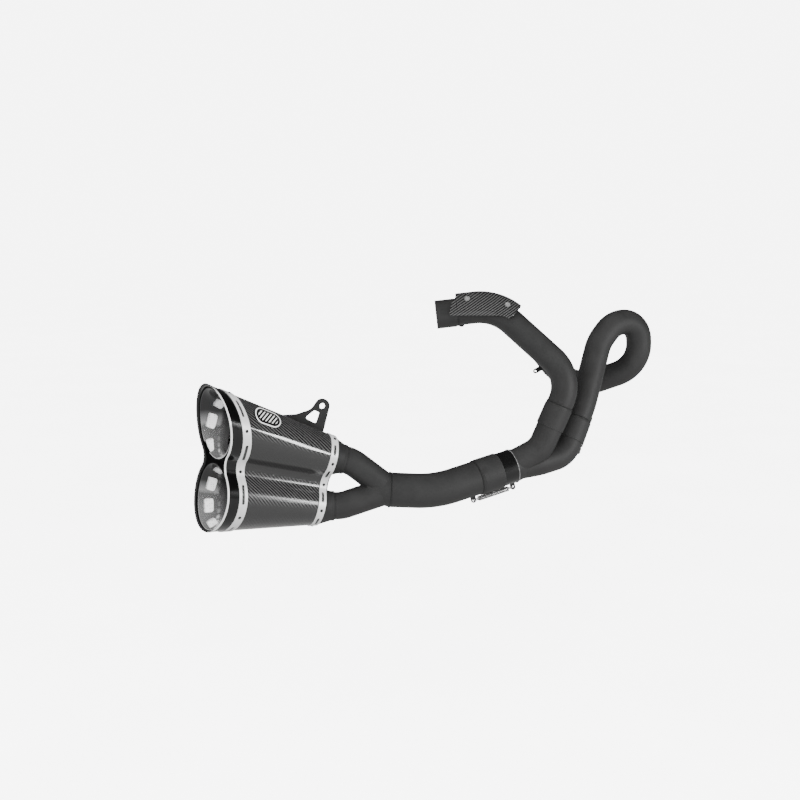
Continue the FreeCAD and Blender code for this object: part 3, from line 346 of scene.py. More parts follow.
def satin_steel(name, tone):
    """Satin black paint with its edges painted lighter: painted highlight."""
    material, tree, shader = new_material(name)
    point = tree.object_point()
    cloud = tree.noise(point, 45, 3)
    grit = tree.noise(point, 1500, 2)
    edge = tree.add("Bevel", {"samples": 4}, Radius=0.0007).outputs[0]
    flat = tree.add("NewGeometry").outputs["Normal"]
    # painted highlight: edges found by the bevel normal are painted lighter
    painted_edge_highlight = tree.ramp(tree.vector("DOT_PRODUCT", edge, flat), [(0.86, grey(1)), (0.97, grey(0))])
    colour = tree.ramp(cloud, [(0.3, grey(tone * 0.7)), (0.7, grey(tone * 1.2))])
    colour = tree.mix(tree.math("MULTIPLY", painted_edge_highlight, 0.5), colour, grey(0.06))
    put(tree, shader, Base_Color=colour, Metallic=0.0, Roughness=tree.between(cloud, 0.32, 0.45),
        Normal=tree.bump(grit, 0.12, 0.0001, edge))
    return material


def weld_metal(name, tone, rough, metallic):
    """Weld metal: a cloudy tone from pale to darker, with fine grit."""
    material, tree, shader = new_material(name)
    point = tree.object_point()
    cloud = tree.noise(point, 220, 3)
    colour = tree.ramp(cloud, [(0.3, grey(tone * 0.55)), (0.7, grey(tone))])
    put(tree, shader, Base_Color=colour, Metallic=metallic, Roughness=tree.between(cloud, *rough),
        Normal=tree.bump(tree.noise(point, 900, 2), 0.3, 0.0002))
    return material


BADGE_LENGTH, BADGE_HEIGHT = 54.0, 34.0


def badge_paint(name):
    """Dark anodised plate with a printed pale border and slanted bars; the uv map is in metres."""
    material, tree, shader = new_material(name)
    u, v = tree.part(tree.uv(), "X"), tree.part(tree.uv(), "Y")
    straight = (BADGE_LENGTH - BADGE_HEIGHT) / 2 * MM
    beyond = tree.math("MAXIMUM", tree.math("SUBTRACT", tree.math("ABSOLUTE", u), straight), 0.0)
    squares = tree.math("ADD", tree.math("MULTIPLY", beyond, beyond), tree.math("MULTIPLY", v, v))
    reach = tree.math("SQRT", squares)
    border = tree.math("MULTIPLY", tree.math("GREATER_THAN", reach, (BADGE_HEIGHT / 2 - 3.2) * MM),
                       tree.math("LESS_THAN", reach, (BADGE_HEIGHT / 2 - 1.0) * MM))
    slanted = tree.math("ADD", u, tree.math("MULTIPLY", v, -0.6))
    stripe = tree.math("LESS_THAN", tree.math("FLOORED_MODULO", slanted, 6.5 * MM), 2.4 * MM)
    middle = tree.math("LESS_THAN", reach, (BADGE_HEIGHT / 2 - 7.5) * MM)
    printed = tree.math("MAXIMUM", border, tree.math("MULTIPLY", stripe, middle))
    grain = tree.noise(tree.object_point(), 1800, 2)
    dark = tree.ramp(grain, [(0.3, grey(0.002)), (0.7, grey(0.005))])
    pale = tree.ramp(grain, [(0.3, grey(0.72)), (0.7, grey(0.86))])
    colour = tree.mix(printed, dark, pale)
    put(tree, shader, Base_Color=colour, Roughness=tree.between(grain, 0.22, 0.34), Metallic=0.1,
        Normal=tree.bump(grain, 0.06, 0.0001), Coat_Weight=0.5, Coat_Roughness=0.08)
    return material


# ---------------------------------------------------------------- mesh helpers
def unit(vector):
    vector = np.asarray(vector, float)
    return vector / np.linalg.norm(vector)


def square_to(axis):
    """A direction square to the axis."""
    hint = np.array([0, 0, 1.0]) if abs(axis[2]) < 0.9 else np.array([1.0, 0, 0])
    return unit(np.cross(axis, hint))


def mesh_piece(name, points, faces, material, body, uvs=None, smooth=True):
    mesh = bpy.data.meshes.new(name)
    mesh.from_pydata([tuple(p) for p in points], [], [tuple(f) for f in faces])
    mesh.validate()
    if uvs is not None:
        layer = mesh.uv_layers.new(name="metres")
        for loop in mesh.loops:
            layer.data[loop.index].uv = uvs[loop.vertex_index][:2]
    mesh.polygons.foreach_set("use_smooth", [smooth] * len(mesh.polygons))
    mesh.materials.append(material)
    piece = bpy.data.objects.new(name, mesh)
    bpy.context.scene.collection.objects.link(piece)
    if body:
        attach(piece, body)
    return piece


def grid_faces(rows, columns, wrap=False):
    faces = []
    last = columns if wrap else columns - 1
    for row in range(rows - 1):
        for column in range(last):
            right = (column + 1) % columns
            faces.append((row * columns + column, row * columns + right,
                          (row + 1) * columns + right, (row + 1) * columns + column))
    return faces


def tube(name, path, radius, material, body, sides=12, closed=False):
    """Round tube along a path; radius is one number or one per point."""
    path = np.asarray(path, float)
    count = len(path)
    radii = np.full(count, radius) if np.isscalar(radius) else np.asarray(radius, float)
    if closed:
        tangents = np.roll(path, -1, 0) - np.roll(path, 1, 0)
    else:
        tangents = np.gradient(path, axis=0)
    tangents /= np.linalg.norm(tangents, axis=1)[:, None]
    side = square_to(tangents[0])
    points, uvs = [], []
    travelled = 0.0
    for index in range(count):
        side = unit(side - tangents[index] * side.dot(tangents[index]))
        up = np.cross(tangents[index], side)
        if index:
            travelled += np.linalg.norm(path[index] - path[index - 1])
        for step in range(sides):
            angle = 2 * math.pi * step / sides
            points.append(path[index] + (side * math.cos(angle) + up * math.sin(angle)) * radii[index])
            uvs.append((travelled, angle * radii[index]))
    faces = grid_faces(count, sides, wrap=True)
    if closed:
        base = (count - 1) * sides
        faces += [(base + s, base + (s + 1) % sides, (s + 1) % sides, s) for s in range(sides)]
    else:
        faces.append(tuple(reversed(range(sides))))
        faces.append(tuple(range((count - 1) * sides, count * sides)))
    return mesh_piece(name, points, faces, material, body, uvs, True)


def ring_path(centre, axis, radius, steps):
    axis = unit(axis)
    side = square_to(axis)
    up = np.cross(axis, side)
    angles = np.arange(steps) * 2 * math.pi / steps
    return (np.asarray(centre, float) + np.outer(np.cos(angles), side) * radius
            + np.outer(np.sin(angles), up) * radius)


BEAD_PITCH = 2.4
BEAD_PROFILE = (1.0, 1.06, 0.94, 0.74)


def weld_ring(name, centre, axis, radius, material, body, bead, seed):
    """A ring of stacked weld beads round a pipe; sizes in millimetres."""
    chance = random.Random(seed)
    steps = int(2 * math.pi * radius / (BEAD_PITCH / 4))
    steps -= steps % 4
    path = ring_path(np.asarray(centre) * MM, axis, radius * MM, steps)
    radii, shift = [], []
    for index in range(steps):
        if index % 4 == 0:
            size = bead * chance.uniform(0.88, 1.12)
            drift = chance.uniform(-0.18, 0.18)
        ripple = BEAD_PROFILE[index % 4]
        radii.append(size * ripple * MM)
        shift.append(drift * MM)
    path = path + np.outer(shift, unit(axis))
    return tube(name, path, radii, material, body, 8, closed=True)


# ---------------------------------------------------------------- silencer outline
INLET_BASE, INLET_ANGLES = (-2, -22, -135), (3, 14, 0)
OUTLET_BASE, OUTLET_ANGLES = (-205, -45, -80.5), (17, 2, 3)
INLET_LOBES = {"upper": 38, "lower": 35, "spacing": 92, "blend": 24}
OUTLET_LOBES = {"upper": 67, "lower": 64, "spacing": 124, "blend": 26}
HOLLOW = 588.0
FRONT_STATION, REAR_STATION = -0.05, 1.12
# turns the outline's flat x, y and normal into a section's across, up and forward
SECTION_TURN = np.array([[0, 0, 1], [1, 0, 0], [0, 1, 0]], float)
ARC_STEPS = 40
SLEEVE_REAR_CUT, SLEEVE_ROWS, SLEEVE_THICKNESS = 21.0, 60, 1.6


def turn_matrix(angles):
    yaw, pitch, roll = (math.radians(a) for a in angles)
    return np.array(Euler((roll, pitch, yaw), "XYZ").to_matrix())


def section(station):
    base = np.array(INLET_BASE) + (np.array(OUTLET_BASE) - np.array(INLET_BASE)) * station
    angles = [a + (b - a) * station for a, b in zip(INLET_ANGLES, OUTLET_ANGLES)]
    return base.astype(float), turn_matrix(angles)


def outline(station):
    """Points round the two-lobed outline in millimetres, from the outboard waist upwards."""
    size = {key: INLET_LOBES[key] + (OUTLET_LOBES[key] - INLET_LOBES[key]) * station for key in INLET_LOBES}
    upper, lower, blend, half = size["upper"], size["lower"], size["blend"], size["spacing"] / 2
    a, b, d = upper + blend, lower + blend, half * 2
    drop = (a * a - b * b + d * d) / (2 * d)
    waist = (math.sqrt(a * a - drop * drop), half - drop)
    top, bottom, left, right = (0, half), (0, -half), (-waist[0], waist[1]), waist

    def bearing(origin, target):
        return math.atan2(target[1] - origin[1], target[0] - origin[0])

    turn = 2 * math.pi
    arcs = [(left, blend, 0, bearing(left, top)),
            (top, upper, bearing(top, left) + turn, bearing(top, right)),
            (right, blend, bearing(right, top) % turn, bearing(right, bottom) % turn),
            (bottom, lower, bearing(bottom, right) + turn, bearing(bottom, left)),
            (left, blend, bearing(left, bottom), 0)]
    flat = []
    for centre, radius, start, end in arcs:
        for step in range(ARC_STEPS):
            angle = start + (end - start) * step / ARC_STEPS
            flat.append((centre[0] + math.cos(angle) * radius, centre[1] + math.sin(angle) * radius, 0))
    base, rotation = section(station)
    return base + np.array(flat) @ (rotation @ SECTION_TURN).T


def hollow_share(fronts, rears, depth):
    """How far along each ruling it meets the hollow end face moved forward by depth."""
    base, rotation = np.array(OUTLET_BASE, float), turn_matrix(OUTLET_ANGLES)
    share = np.ones(len(fronts))
    run = (rears - fronts) @ rotation[:, 0]
    for _ in range(6):
        local = (fronts + (rears - fronts) * share[:, None] - base) @ rotation
        share += (depth - local[:, 2] ** 2 / (2 * HOLLOW) - local[:, 0]) / run
    return share


def plane_share(fronts, rears):
    """How far along each ruling it meets the inlet plane."""
    base, rotation = np.array(INLET_BASE, float), turn_matrix(INLET_ANGLES)
    start = (fronts - base) @ rotation[:, 0]
    end = (rears - base) @ rotation[:, 0]
    return -start / (end - start)


def skin(rear_cut, rows):
    """Grid of points on the silencer's skin, in metres, with its flat uv map."""
    fronts, rears = outline(FRONT_STATION), outline(REAR_STATION)
    first, last = plane_share(fronts, rears), hollow_share(fronts, rears, rear_cut)
    columns = len(fronts)
    grid = np.zeros((rows, columns + 1, 3))
    for row in range(rows):
        share = first + (last - first) * row / (rows - 1)
        points = fronts + (rears - fronts) * share[:, None]
        grid[row, :columns] = points
        grid[row, columns] = points[0]
    grid *= MM
    steps = np.linalg.norm(np.diff(grid, axis=1), axis=2)
    around = np.concatenate([np.zeros((rows, 1)), np.cumsum(steps, axis=1)], axis=1)
    # the flat pattern is laid out from the middle of the outboard side
    middle = grid[:, 0]
    travel = np.concatenate([[0], np.cumsum(np.linalg.norm(np.diff(middle, axis=0), axis=1))])
    uvs = np.stack([around, np.repeat(travel[:, None], columns + 1, 1)], 2)
    half = around[:, -1:] / 2
    uvs[:, :, 0] = np.where(around > half, around - 2 * half, around)
    return grid, uvs


def skin_piece(name, grid, uvs, material, body):
    rows, columns = grid.shape[:2]
    mesh_points, mesh_uvs, faces = grid.reshape(-1, 3), uvs.reshape(-1, 2), []
    for row in range(rows - 1):
        for column in range(columns - 1):
            corner = row * columns + column
            faces.append((corner, corner + 1, corner + columns + 1, corner + columns))
    mesh = bpy.data.meshes.new(name)
    mesh.from_pydata([tuple(p) for p in mesh_points], [], faces)
    layer = mesh.uv_layers.new(name="metres")
    for polygon in mesh.polygons:
        corners = [mesh_uvs[mesh.loops[i].vertex_index].copy() for i in polygon.loop_indices]
        spread = max(c[0] for c in corners) - min(c[0] for c in corners)
        for index, corner in zip(polygon.loop_indices, corners):
            # the faces on the inboard seam keep one side of the flat pattern
            if spread > 0.1:
                corner[0] = abs(corner[0])
            layer.data[index].uv = corner
    mesh.polygons.foreach_set("use_smooth", [True] * len(mesh.polygons))
    mesh.materials.append(material)
    piece = bpy.data.objects.new(name, mesh)
    bpy.context.scene.collection.objects.link(piece)
    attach(piece, body)
    return piece


# ---------------------------------------------------------------- paints for the CAD nodes
INLET_FORWARD = turn_matrix(INLET_ANGLES)[:, 0]
OUTLET_FORWARD = turn_matrix(OUTLET_ANGLES)[:, 0]


def lobe_line(sign):
    """Rear end, forward direction and length of a lobe's axis, in millimetres."""
    rear = np.array(OUTLET_BASE) + turn_matrix(OUTLET_ANGLES)[:, 2] * sign * OUTLET_LOBES["spacing"] / 2
    front = np.array(INLET_BASE) + turn_matrix(INLET_ANGLES)[:, 2] * sign * INLET_LOBES["spacing"] / 2
    return rear, unit(front - rear), np.linalg.norm(front - rear)


UPPER_REAR, UPPER_FORWARD, UPPER_LENGTH = lobe_line(1)
LOWER_REAR, LOWER_FORWARD, _ = lobe_line(-1)

COATING = ceramic_coating("ceramic_coating")
COATING_SMOOTH = ceramic_coating("spigot_coating", 0.002, 0.004, (0.2, 0.3), 0.3)
# both twills carry a painted sheen on their warp tows; haze sets how far it gives way to painted shade on the
# undersides
CARBON = carbon_twill("carbon_twill", dull_coat=0.18)
SHIELD_CARBON = carbon_twill("shield_twill", 12.0, 0.0014, haze=0.2)
LACQUER = gloss_black("cap_lacquer")
LINING = dull_black("outlet_lining")
OUTLET_BAND = brushed("outlet_band_steel", OUTLET_FORWARD, 0.9, (0.3, 0.45), metallic=0.35)
INLET_BAND = brushed("inlet_band_steel", INLET_FORWARD, 0.9, (0.3, 0.45), metallic=0.35)
RIVET_STEEL = brushed("rivet_steel", (0, 1, 0), 0.07, (0.25, 0.4), 900, 0.1)
RIM_STEEL = rim_metal("rim_steel")
UPPER_BELL = spun("upper_bell_steel", UPPER_REAR * MM, UPPER_FORWARD, 0.9, (0.12, 0.22), 0.45)
LOWER_BELL = spun("lower_bell_steel", LOWER_REAR * MM, LOWER_FORWARD, 0.9, (0.12, 0.22), 0.45)
BACKING = perforated("backing_sheet")
SOOT = spun("sooted_steel", UPPER_REAR * MM, UPPER_FORWARD, 0.05, (0.3, 0.45), 0.2, shade_painted_above=False)
WOOL = glass_wool("glass_wool")
BRACKET = satin_steel("bracket_satin", 0.009)
TAB_STEEL = satin_steel("tab_satin", 0.006)
SCREW_STEEL = brushed("screw_steel", (0.55, -0.6, 0.55), 0.9, (0.15, 0.3), 700, 0.12, 0.85)
WASHER_BLACK = satin_steel("washer_black", 0.003)
SPRING_STEEL = brushed("spring_steel", (1, 0, 0), 0.38, (0.25, 0.4), 500, 0.08, 0.8, 0.25)
# lip steel lighter than the coating: partly real wear, partly a painted highlight along the sleeves' edges
LIP_STEEL = brushed("worn_highlight_lip", (1, 0, 0), 0.06, (0.35, 0.5), 600, 0.1, 0.4)
WELD_DARK = weld_metal("weld_coated", 0.014, (0.45, 0.6), 0.2)
WELD_BRIGHT = weld_metal("weld_bright", 0.36, (0.25, 0.4), 0.6)

PAINTS = {
    COATING: ["rear_header_pipe", "rear_header_sleeve", "rear_port_socket", "front_header_pipe",
              "front_header_sleeve", "front_port_socket", "collector_body", "mid_pipe", "mid_sleeve",
              "y_merge", "y_upper_branch", "y_lower_branch", "inlet_cap", "shield_bosses"],
    COATING_SMOOTH: ["collector_spigot"],
    LACQUER: ["outlet_cap"],
    LINING: ["outlet_face"],
    OUTLET_BAND: ["outlet_strap"],
    INLET_BAND: ["inlet_strap"],
    RIVET_STEEL: ["outlet_strap_rivets", "inlet_strap_rivets"],
    RIM_STEEL: ["rim_trim"],
    UPPER_BELL: ["upper_bell"],
    LOWER_BELL: ["lower_bell"],
    BACKING: ["upper_bell_backing", "lower_bell_backing"],
    SOOT: ["upper_core", "lower_core", "baffle"],
    WOOL: ["absorber_wool"],
    BRACKET: ["hanger_bracket", "hanger_rivets"],
    TAB_STEEL: ["mid_pipe_hooks", "collector_hooks", "rear_header_hooks", "front_header_hooks"],
    SCREW_STEEL: ["shield_screws"],
    WASHER_BLACK: ["shield_washers"],
}


def paint_nodes():
    for material, names in PAINTS.items():
        for name in names:
            mesh = NODES[name].data
            mesh.materials.clear()
            mesh.materials.append(material)


paint_nodes()


# ---------------------------------------------------------------- carbon sleeve
def carbon_sleeve():
    grid, uvs = skin(SLEEVE_REAR_CUT, SLEEVE_ROWS)
    piece = skin_piece("carbon_sleeve_skin", grid, uvs, CARBON, "silencer")
    thickness = piece.modifiers.new("thickness", "SOLIDIFY")
    thickness.thickness = SLEEVE_THICKNESS * MM
    thickness.offset = -1
    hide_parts("carbon_sleeve")


carbon_sleeve()


# ---------------------------------------------------------------- heat shield
REAR_ROUTE = np.array([(235, 45, 158), (342, 8, 171), (469, -63, 43), (427, -59, -51)], float)
SHIELD_BEND, SHIELD_RADIUS, SHIELD_FAR_EDGE = 90.0, 34.5, -18.0
SHIELD_START, SHIELD_END, SHIELD_ROW_STEP, SHIELD_COLUMNS = 20.0, 196.0, 0.8, 45
SHIELD_ANGLE_STEP, SHIELD_THICKNESS = math.radians(3), 1.5
# corners of the trimmed outline (distance along, height) from the pipe's bend point, each with its rounding
SHIELD_OUTLINE = [(-88, -12.5, 4), (-88, 10, 40), (-40, 55, 20), (84, 55, 2), (84, 43, 2), (24, -19, 5),
                  (12, -12.5, 25)]
CORNER_STEPS = 10


def rounded_outline(corners):
    """Polygon with each corner replaced by a tangent arc."""
    points = []
    for index, (x, y, radius) in enumerate(corners):
        here = np.array([x, y], float)
        back = unit(np.array(corners[index - 1][:2]) - here)
        onward = unit(np.array(corners[(index + 1) % len(corners)][:2]) - here)
        half = math.acos(float(np.clip(back.dot(onward), -1, 1))) / 2
        reach = radius / math.tan(half)
        centre = here + unit(back + onward) * radius / math.sin(half)
        first, last = here + back * reach - centre, here + onward * reach - centre
        start = math.atan2(first[1], first[0])
        swing = math.atan2(first[0] * last[1] - first[1] * last[0], first.dot(last))
        for step in range(CORNER_STEPS + 1):
            angle = start + swing * step / CORNER_STEPS
            points.append(centre + radius * np.array([math.cos(angle), math.sin(angle)]))
    return np.array(points)


def inside_polygon(polygon, x, y):
    ahead = np.roll(polygon, -1, 0)
    crossing = (polygon[:, 1] > y) != (ahead[:, 1] > y)
    slope = (ahead[:, 0] - polygon[:, 0]) / np.where(crossing, ahead[:, 1] - polygon[:, 1], 1.0)
    return np.count_nonzero(crossing & (x < polygon[:, 0] + slope * (y - polygon[:, 1]))) % 2 == 1


def rear_line(along):
    """Point and tangent of the rear header's centreline, measured from its open end in millimetres."""
    start, corner, after = REAR_ROUTE[:3]
    inward, onward = unit(corner - start), unit(after - corner)
    turn = math.acos(float(inward.dot(onward)))
    reach = SHIELD_BEND * math.tan(turn / 2)
    run = np.linalg.norm(corner - start) - reach
    if along <= run:
        return start + inward * along, inward
    enter = corner - inward * reach
    towards = unit(np.cross(np.cross(inward, onward), inward))
    angle = (along - run) / SHIELD_BEND
    if angle < turn:
        point = enter + (inward * math.sin(angle) + towards * (1 - math.cos(angle))) * SHIELD_BEND
        return point, inward * math.cos(angle) + towards * math.sin(angle)
    return corner + onward * (reach + along - run - SHIELD_BEND * turn), onward


def heat_shield():
    """Curved carbon shield: a grid on the bent tube between its trimmed edges."""
    corner = REAR_ROUTE[1]
    inward = unit(corner - REAR_ROUTE[0])
    run = unit((inward[0], inward[1], 0))
    outboard = np.array([run[1], -run[0], 0])
    trim = rounded_outline(SHIELD_OUTLINE)

    def surface(along, angle):
        base, tangent = rear_line(along)
        up = unit(np.array([0, 0, 1.0]) - tangent * tangent[2])
        out = np.cross(tangent, up)
        return base + SHIELD_RADIUS * (out * math.cos(angle) + up * math.sin(angle))

    def kept(along, angle):
        offset = surface(along, angle) - corner
        return offset.dot(outboard) > SHIELD_FAR_EDGE and inside_polygon(trim, offset.dot(run), offset[2])

    def edge(along, inner, outer):
        """The angle between a kept and a trimmed one at which the sheet ends."""
        for _ in range(12):
            middle = (inner + outer) / 2
            inner, outer = (middle, outer) if kept(along, middle) else (inner, middle)
        return inner

    rows = []
    for along in np.arange(SHIELD_START, SHIELD_END, SHIELD_ROW_STEP):
        angles = [math.radians(a) for a in range(-90, 190, 3) if kept(along, math.radians(a))]
        if angles:
            rows.append((along, edge(along, angles[0], angles[0] - SHIELD_ANGLE_STEP),
                         edge(along, angles[-1], angles[-1] + SHIELD_ANGLE_STEP)))
    points, uvs = [], []
    for along, low, high in rows:
        for column in range(SHIELD_COLUMNS):
            angle = low + (high - low) * column / (SHIELD_COLUMNS - 1)
            point = surface(along, angle)
            points.append(point * MM)
            uvs.append(((point - corner).dot(run) * MM, point[2] * MM))
    piece = mesh_piece("heat_shield_twill", points, grid_faces(len(rows), SHIELD_COLUMNS), SHIELD_CARBON,
                       "rear_header", uvs, True)
    thickness = piece.modifiers.new("thickness", "SOLIDIFY")
    thickness.thickness = SHIELD_THICKNESS * MM
    thickness.offset = -1
    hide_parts("heat_shield")


heat_shield()


# ---------------------------------------------------------------- springs
SPRING_EYE, COIL_RADIUS, WIRE_RADIUS, COIL_PITCH = 4.5, 4.1, 0.9, 2.35
COIL_STEPS, LOOP_STEPS, LOOP_SWEEP = 20, 32, 330.0


def spring(name, node, start, end, outward):
    """Closed end loops through two hook eyes, joined by an open coil; points in millimetres."""
    start, end = np.asarray(start, float), np.asarray(end, float)
    along = unit(end - start)
    outward = unit(np.asarray(outward) - along * np.dot(outward, along))
    side = np.cross(outward, along)
    length = np.linalg.norm(end - start)
    first, last = 2 * SPRING_EYE, length - 2 * SPRING_EYE
    turns = round((last - first) / COIL_PITCH)

    def end_loop(centre, away):
        angles = np.radians(np.linspace(-LOOP_SWEEP / 2, LOOP_SWEEP / 2, LOOP_STEPS + 1))
        return [centre + SPRING_EYE * (side * math.sin(a) + away * math.cos(a)) for a in angles]

    path = end_loop(start + along * SPRING_EYE, -along)
    samples = turns * COIL_STEPS
    for step in range(samples + 1):
        share = step / samples
        angle = 2 * math.pi * turns * share
        grow = min(1.0, share * turns * 1.4, (1 - share) * turns * 1.4)
        radius = COIL_RADIUS * (0.25 + 0.75 * math.sin(grow * math.pi / 2))
        centre = start + along * (first + (last - first) * share)
        path.append(centre + radius * (side * math.cos(angle) + outward * math.sin(angle)))
    path += end_loop(end - along * SPRING_EYE, along)
    wire = tube(name, np.array(path) * MM, WIRE_RADIUS * MM, SPRING_STEEL, None, 8)
    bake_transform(wire)
    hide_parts(node)


JOINTS = {joint["name"]: joint for joint in frame["joints"]}


def joint_line(name):
    """A slip joint's seam point in millimetres and its axis."""
    return np.array(JOINTS[name]["pos_m"]) / MM, unit(JOINTS[name]["axis"])


MID_SEAM, MID_AXIS = joint_line("mid_slip_joint")
REAR_SEAM, REAR_AXIS = joint_line("rear_slip_joint")
FRONT_SEAM, FRONT_AXIS = joint_line("front_slip_joint")
SPIGOT_BARE = 30.0
HEADER_SURFACE, MID_SURFACE, SPRING_STAND = 26.75, 33.75, 6.5


def springs():
    """One spring on each stretch from below to above a slip joint's seam, raised over the pipe's surface."""
    for name, seam, axis, outward, above, below, surface, bodies in (
            ("mid_lower_spring", MID_SEAM, MID_AXIS, (0, 0, -1), 23.5, 60, MID_SURFACE,
             ("silencer", "collector")),
            ("mid_inboard_spring", MID_SEAM, MID_AXIS, (0.3, 0.95, 0), 23.5, 60, MID_SURFACE,
             ("silencer", "collector")),
            ("rear_joint_spring", REAR_SEAM, REAR_AXIS, (0.15, 0.95, 0), 56, 14, HEADER_SURFACE,
             ("collector", "rear_header")),
            ("front_joint_spring", FRONT_SEAM, FRONT_AXIS, (0.933, 0.358, 0), 58, 12, HEADER_SURFACE,
             ("collector", "front_header"))):
        outward = np.array(outward, float)
        outward = unit(outward - axis * outward.dot(axis))
        raised = seam + outward * (surface + SPRING_STAND)
        spring(name + "_coil", name, raised - axis * below, raised + axis * above, outward)


springs()


# ---------------------------------------------------------------- welds
HEADER_RADIUS, MID_RADIUS = 25.0, 32.0
SOCKET_REACH, PORT_REACH, COLLAR_REACH = 45.0, 41.0, 26.2
WELD_BEAD, BRIGHT_BEAD, COLLAR_BEAD, CROTCH_BEAD = 1.25, 0.9, 1.2, 1.4
CROTCH_START, CROTCH_STEPS, CROTCH_PROFILE = 36.0, 60, (1.0, 1.05, 0.93, 0.76)
LIP_RADIUS, LIP_STEPS = 0.42, 120
MERGE_POINT, MID_BEND = np.array((117, -35, -156.0)), np.array((200, -50, -162.0))
UPPER_BRANCH_BEND, LOWER_BRANCH_BEND = np.array((47, -24, -100.0)), np.array((28, -29, -181.0))
UPPER_LOBE_INLET, LOWER_LOBE_INLET = np.array((9, -21, -90.0)), np.array((-13, -22, -180.0))


def port_line(name):
    """Open end of a port socket in millimetres and the direction into the pipe."""
    mount = [m for m in frame["record"]["mounts"] if m["name"] == name][0]
    inward = -unit(mount["axis"])
    return np.array(mount["pos_m"]) / MM - inward * mount["dims"]["length_mm"] / 2, inward


def welds():
    collector_end = MID_SEAM + MID_AXIS * SPIGOT_BARE
    rear_port, rear_inward = port_line("rear_port_socket_bore")
    front_port, front_inward = port_line("front_port_socket_bore")
    rings = [
        ("rear_sleeve_weld", "rear_header", REAR_SEAM + REAR_AXIS * SOCKET_REACH, REAR_AXIS, HEADER_RADIUS),
        ("front_sleeve_weld", "front_header", FRONT_SEAM + FRONT_AXIS * SOCKET_REACH, FRONT_AXIS,
         HEADER_RADIUS),
        ("rear_port_weld", "rear_header", rear_port + rear_inward * PORT_REACH, rear_inward, HEADER_RADIUS),
        ("front_port_weld", "front_header", front_port + front_inward * PORT_REACH, front_inward,
         HEADER_RADIUS),
        ("mid_sleeve_weld", "silencer", MID_SEAM - MID_AXIS * SOCKET_REACH, MID_AXIS, MID_RADIUS),
        ("collector_weld", "collector", collector_end, MID_AXIS, MID_RADIUS + 0.1),
        ("merge_weld", "silencer", MERGE_POINT, unit(MID_BEND - MERGE_POINT), MID_RADIUS),
    ]
    for seed, (name, body, centre, axis, radius) in enumerate(rings):
        bright = name == "collector_weld"
        weld_ring(name, centre, axis, radius, WELD_BRIGHT if bright else WELD_DARK, body,
                  BRIGHT_BEAD if bright else WELD_BEAD, seed + 3)
    for seed, (name, start, bend) in enumerate((("upper", UPPER_LOBE_INLET, UPPER_BRANCH_BEND),
                                                ("lower", LOWER_LOBE_INLET, LOWER_BRANCH_BEND))):
        along = unit(bend - start)
        weld_ring(name + "_collar_weld", start + along * COLLAR_REACH, along, HEADER_RADIUS + 0.6, WELD_DARK,
                  "silencer", COLLAR_BEAD, seed + 20)


def crotch_weld():
    """Beads along the line where the two branches meet."""
    upper, lower = unit(MERGE_POINT - UPPER_BRANCH_BEND), unit(MERGE_POINT - LOWER_BRANCH_BEND)
    bisector = unit(upper + lower)
    normal = unit(np.cross(upper, lower))
    sine = math.sin(math.acos(float(upper.dot(lower))) / 2)
    longest = HEADER_RADIUS / sine
    for side in (-1, 1):
        path, radii = [], []
        for step in range(CROTCH_STEPS):
            share = math.sin(step / (CROTCH_STEPS - 1) * math.pi / 2)
            reach = CROTCH_START + (longest - CROTCH_START) * share
            rise = math.sqrt(max(HEADER_RADIUS ** 2 - (reach * sine) ** 2, 0.0))
            path.append((MERGE_POINT - bisector * reach + normal * rise * side) * MM)
            radii.append(CROTCH_BEAD * CROTCH_PROFILE[step % 4] * MM)
        tube("crotch_weld_%s" % ("near" if side < 0 else "far"), path, radii, WELD_DARK, "silencer", 8)


def worn_highlight_lips():
    """Thin bare edges of the expanded sleeves, worn pale where they slide and made pale so the seam shows a light
    line: partly real wear, partly painted highlight.
    """
    for name, centre, axis, radius, body in (
            ("rear_sleeve_lip", REAR_SEAM, REAR_AXIS, HEADER_SURFACE, "rear_header"),
            ("front_sleeve_lip", FRONT_SEAM, FRONT_AXIS, HEADER_SURFACE, "front_header"),
            ("mid_sleeve_lip", MID_SEAM, MID_AXIS, MID_SURFACE, "silencer")):
        path = ring_path(centre * MM, axis, (radius - 0.3) * MM, LIP_STEPS)
        chance = random.Random(name)
        radii = [LIP_RADIUS * chance.uniform(0.8, 1.1) * MM for _ in range(LIP_STEPS)]
        tube(name, path, radii, LIP_STEEL, body, 8, closed=True)


welds()
crotch_weld()
worn_highlight_lips()


# ---------------------------------------------------------------- badge
BADGE_STATION, BADGE_TILT, BADGE_RISE, BADGE_THICKNESS = 0.68, 44.0, 0.95, 0.8
BADGE_RINGS, BADGE_SIDES = 14, 96


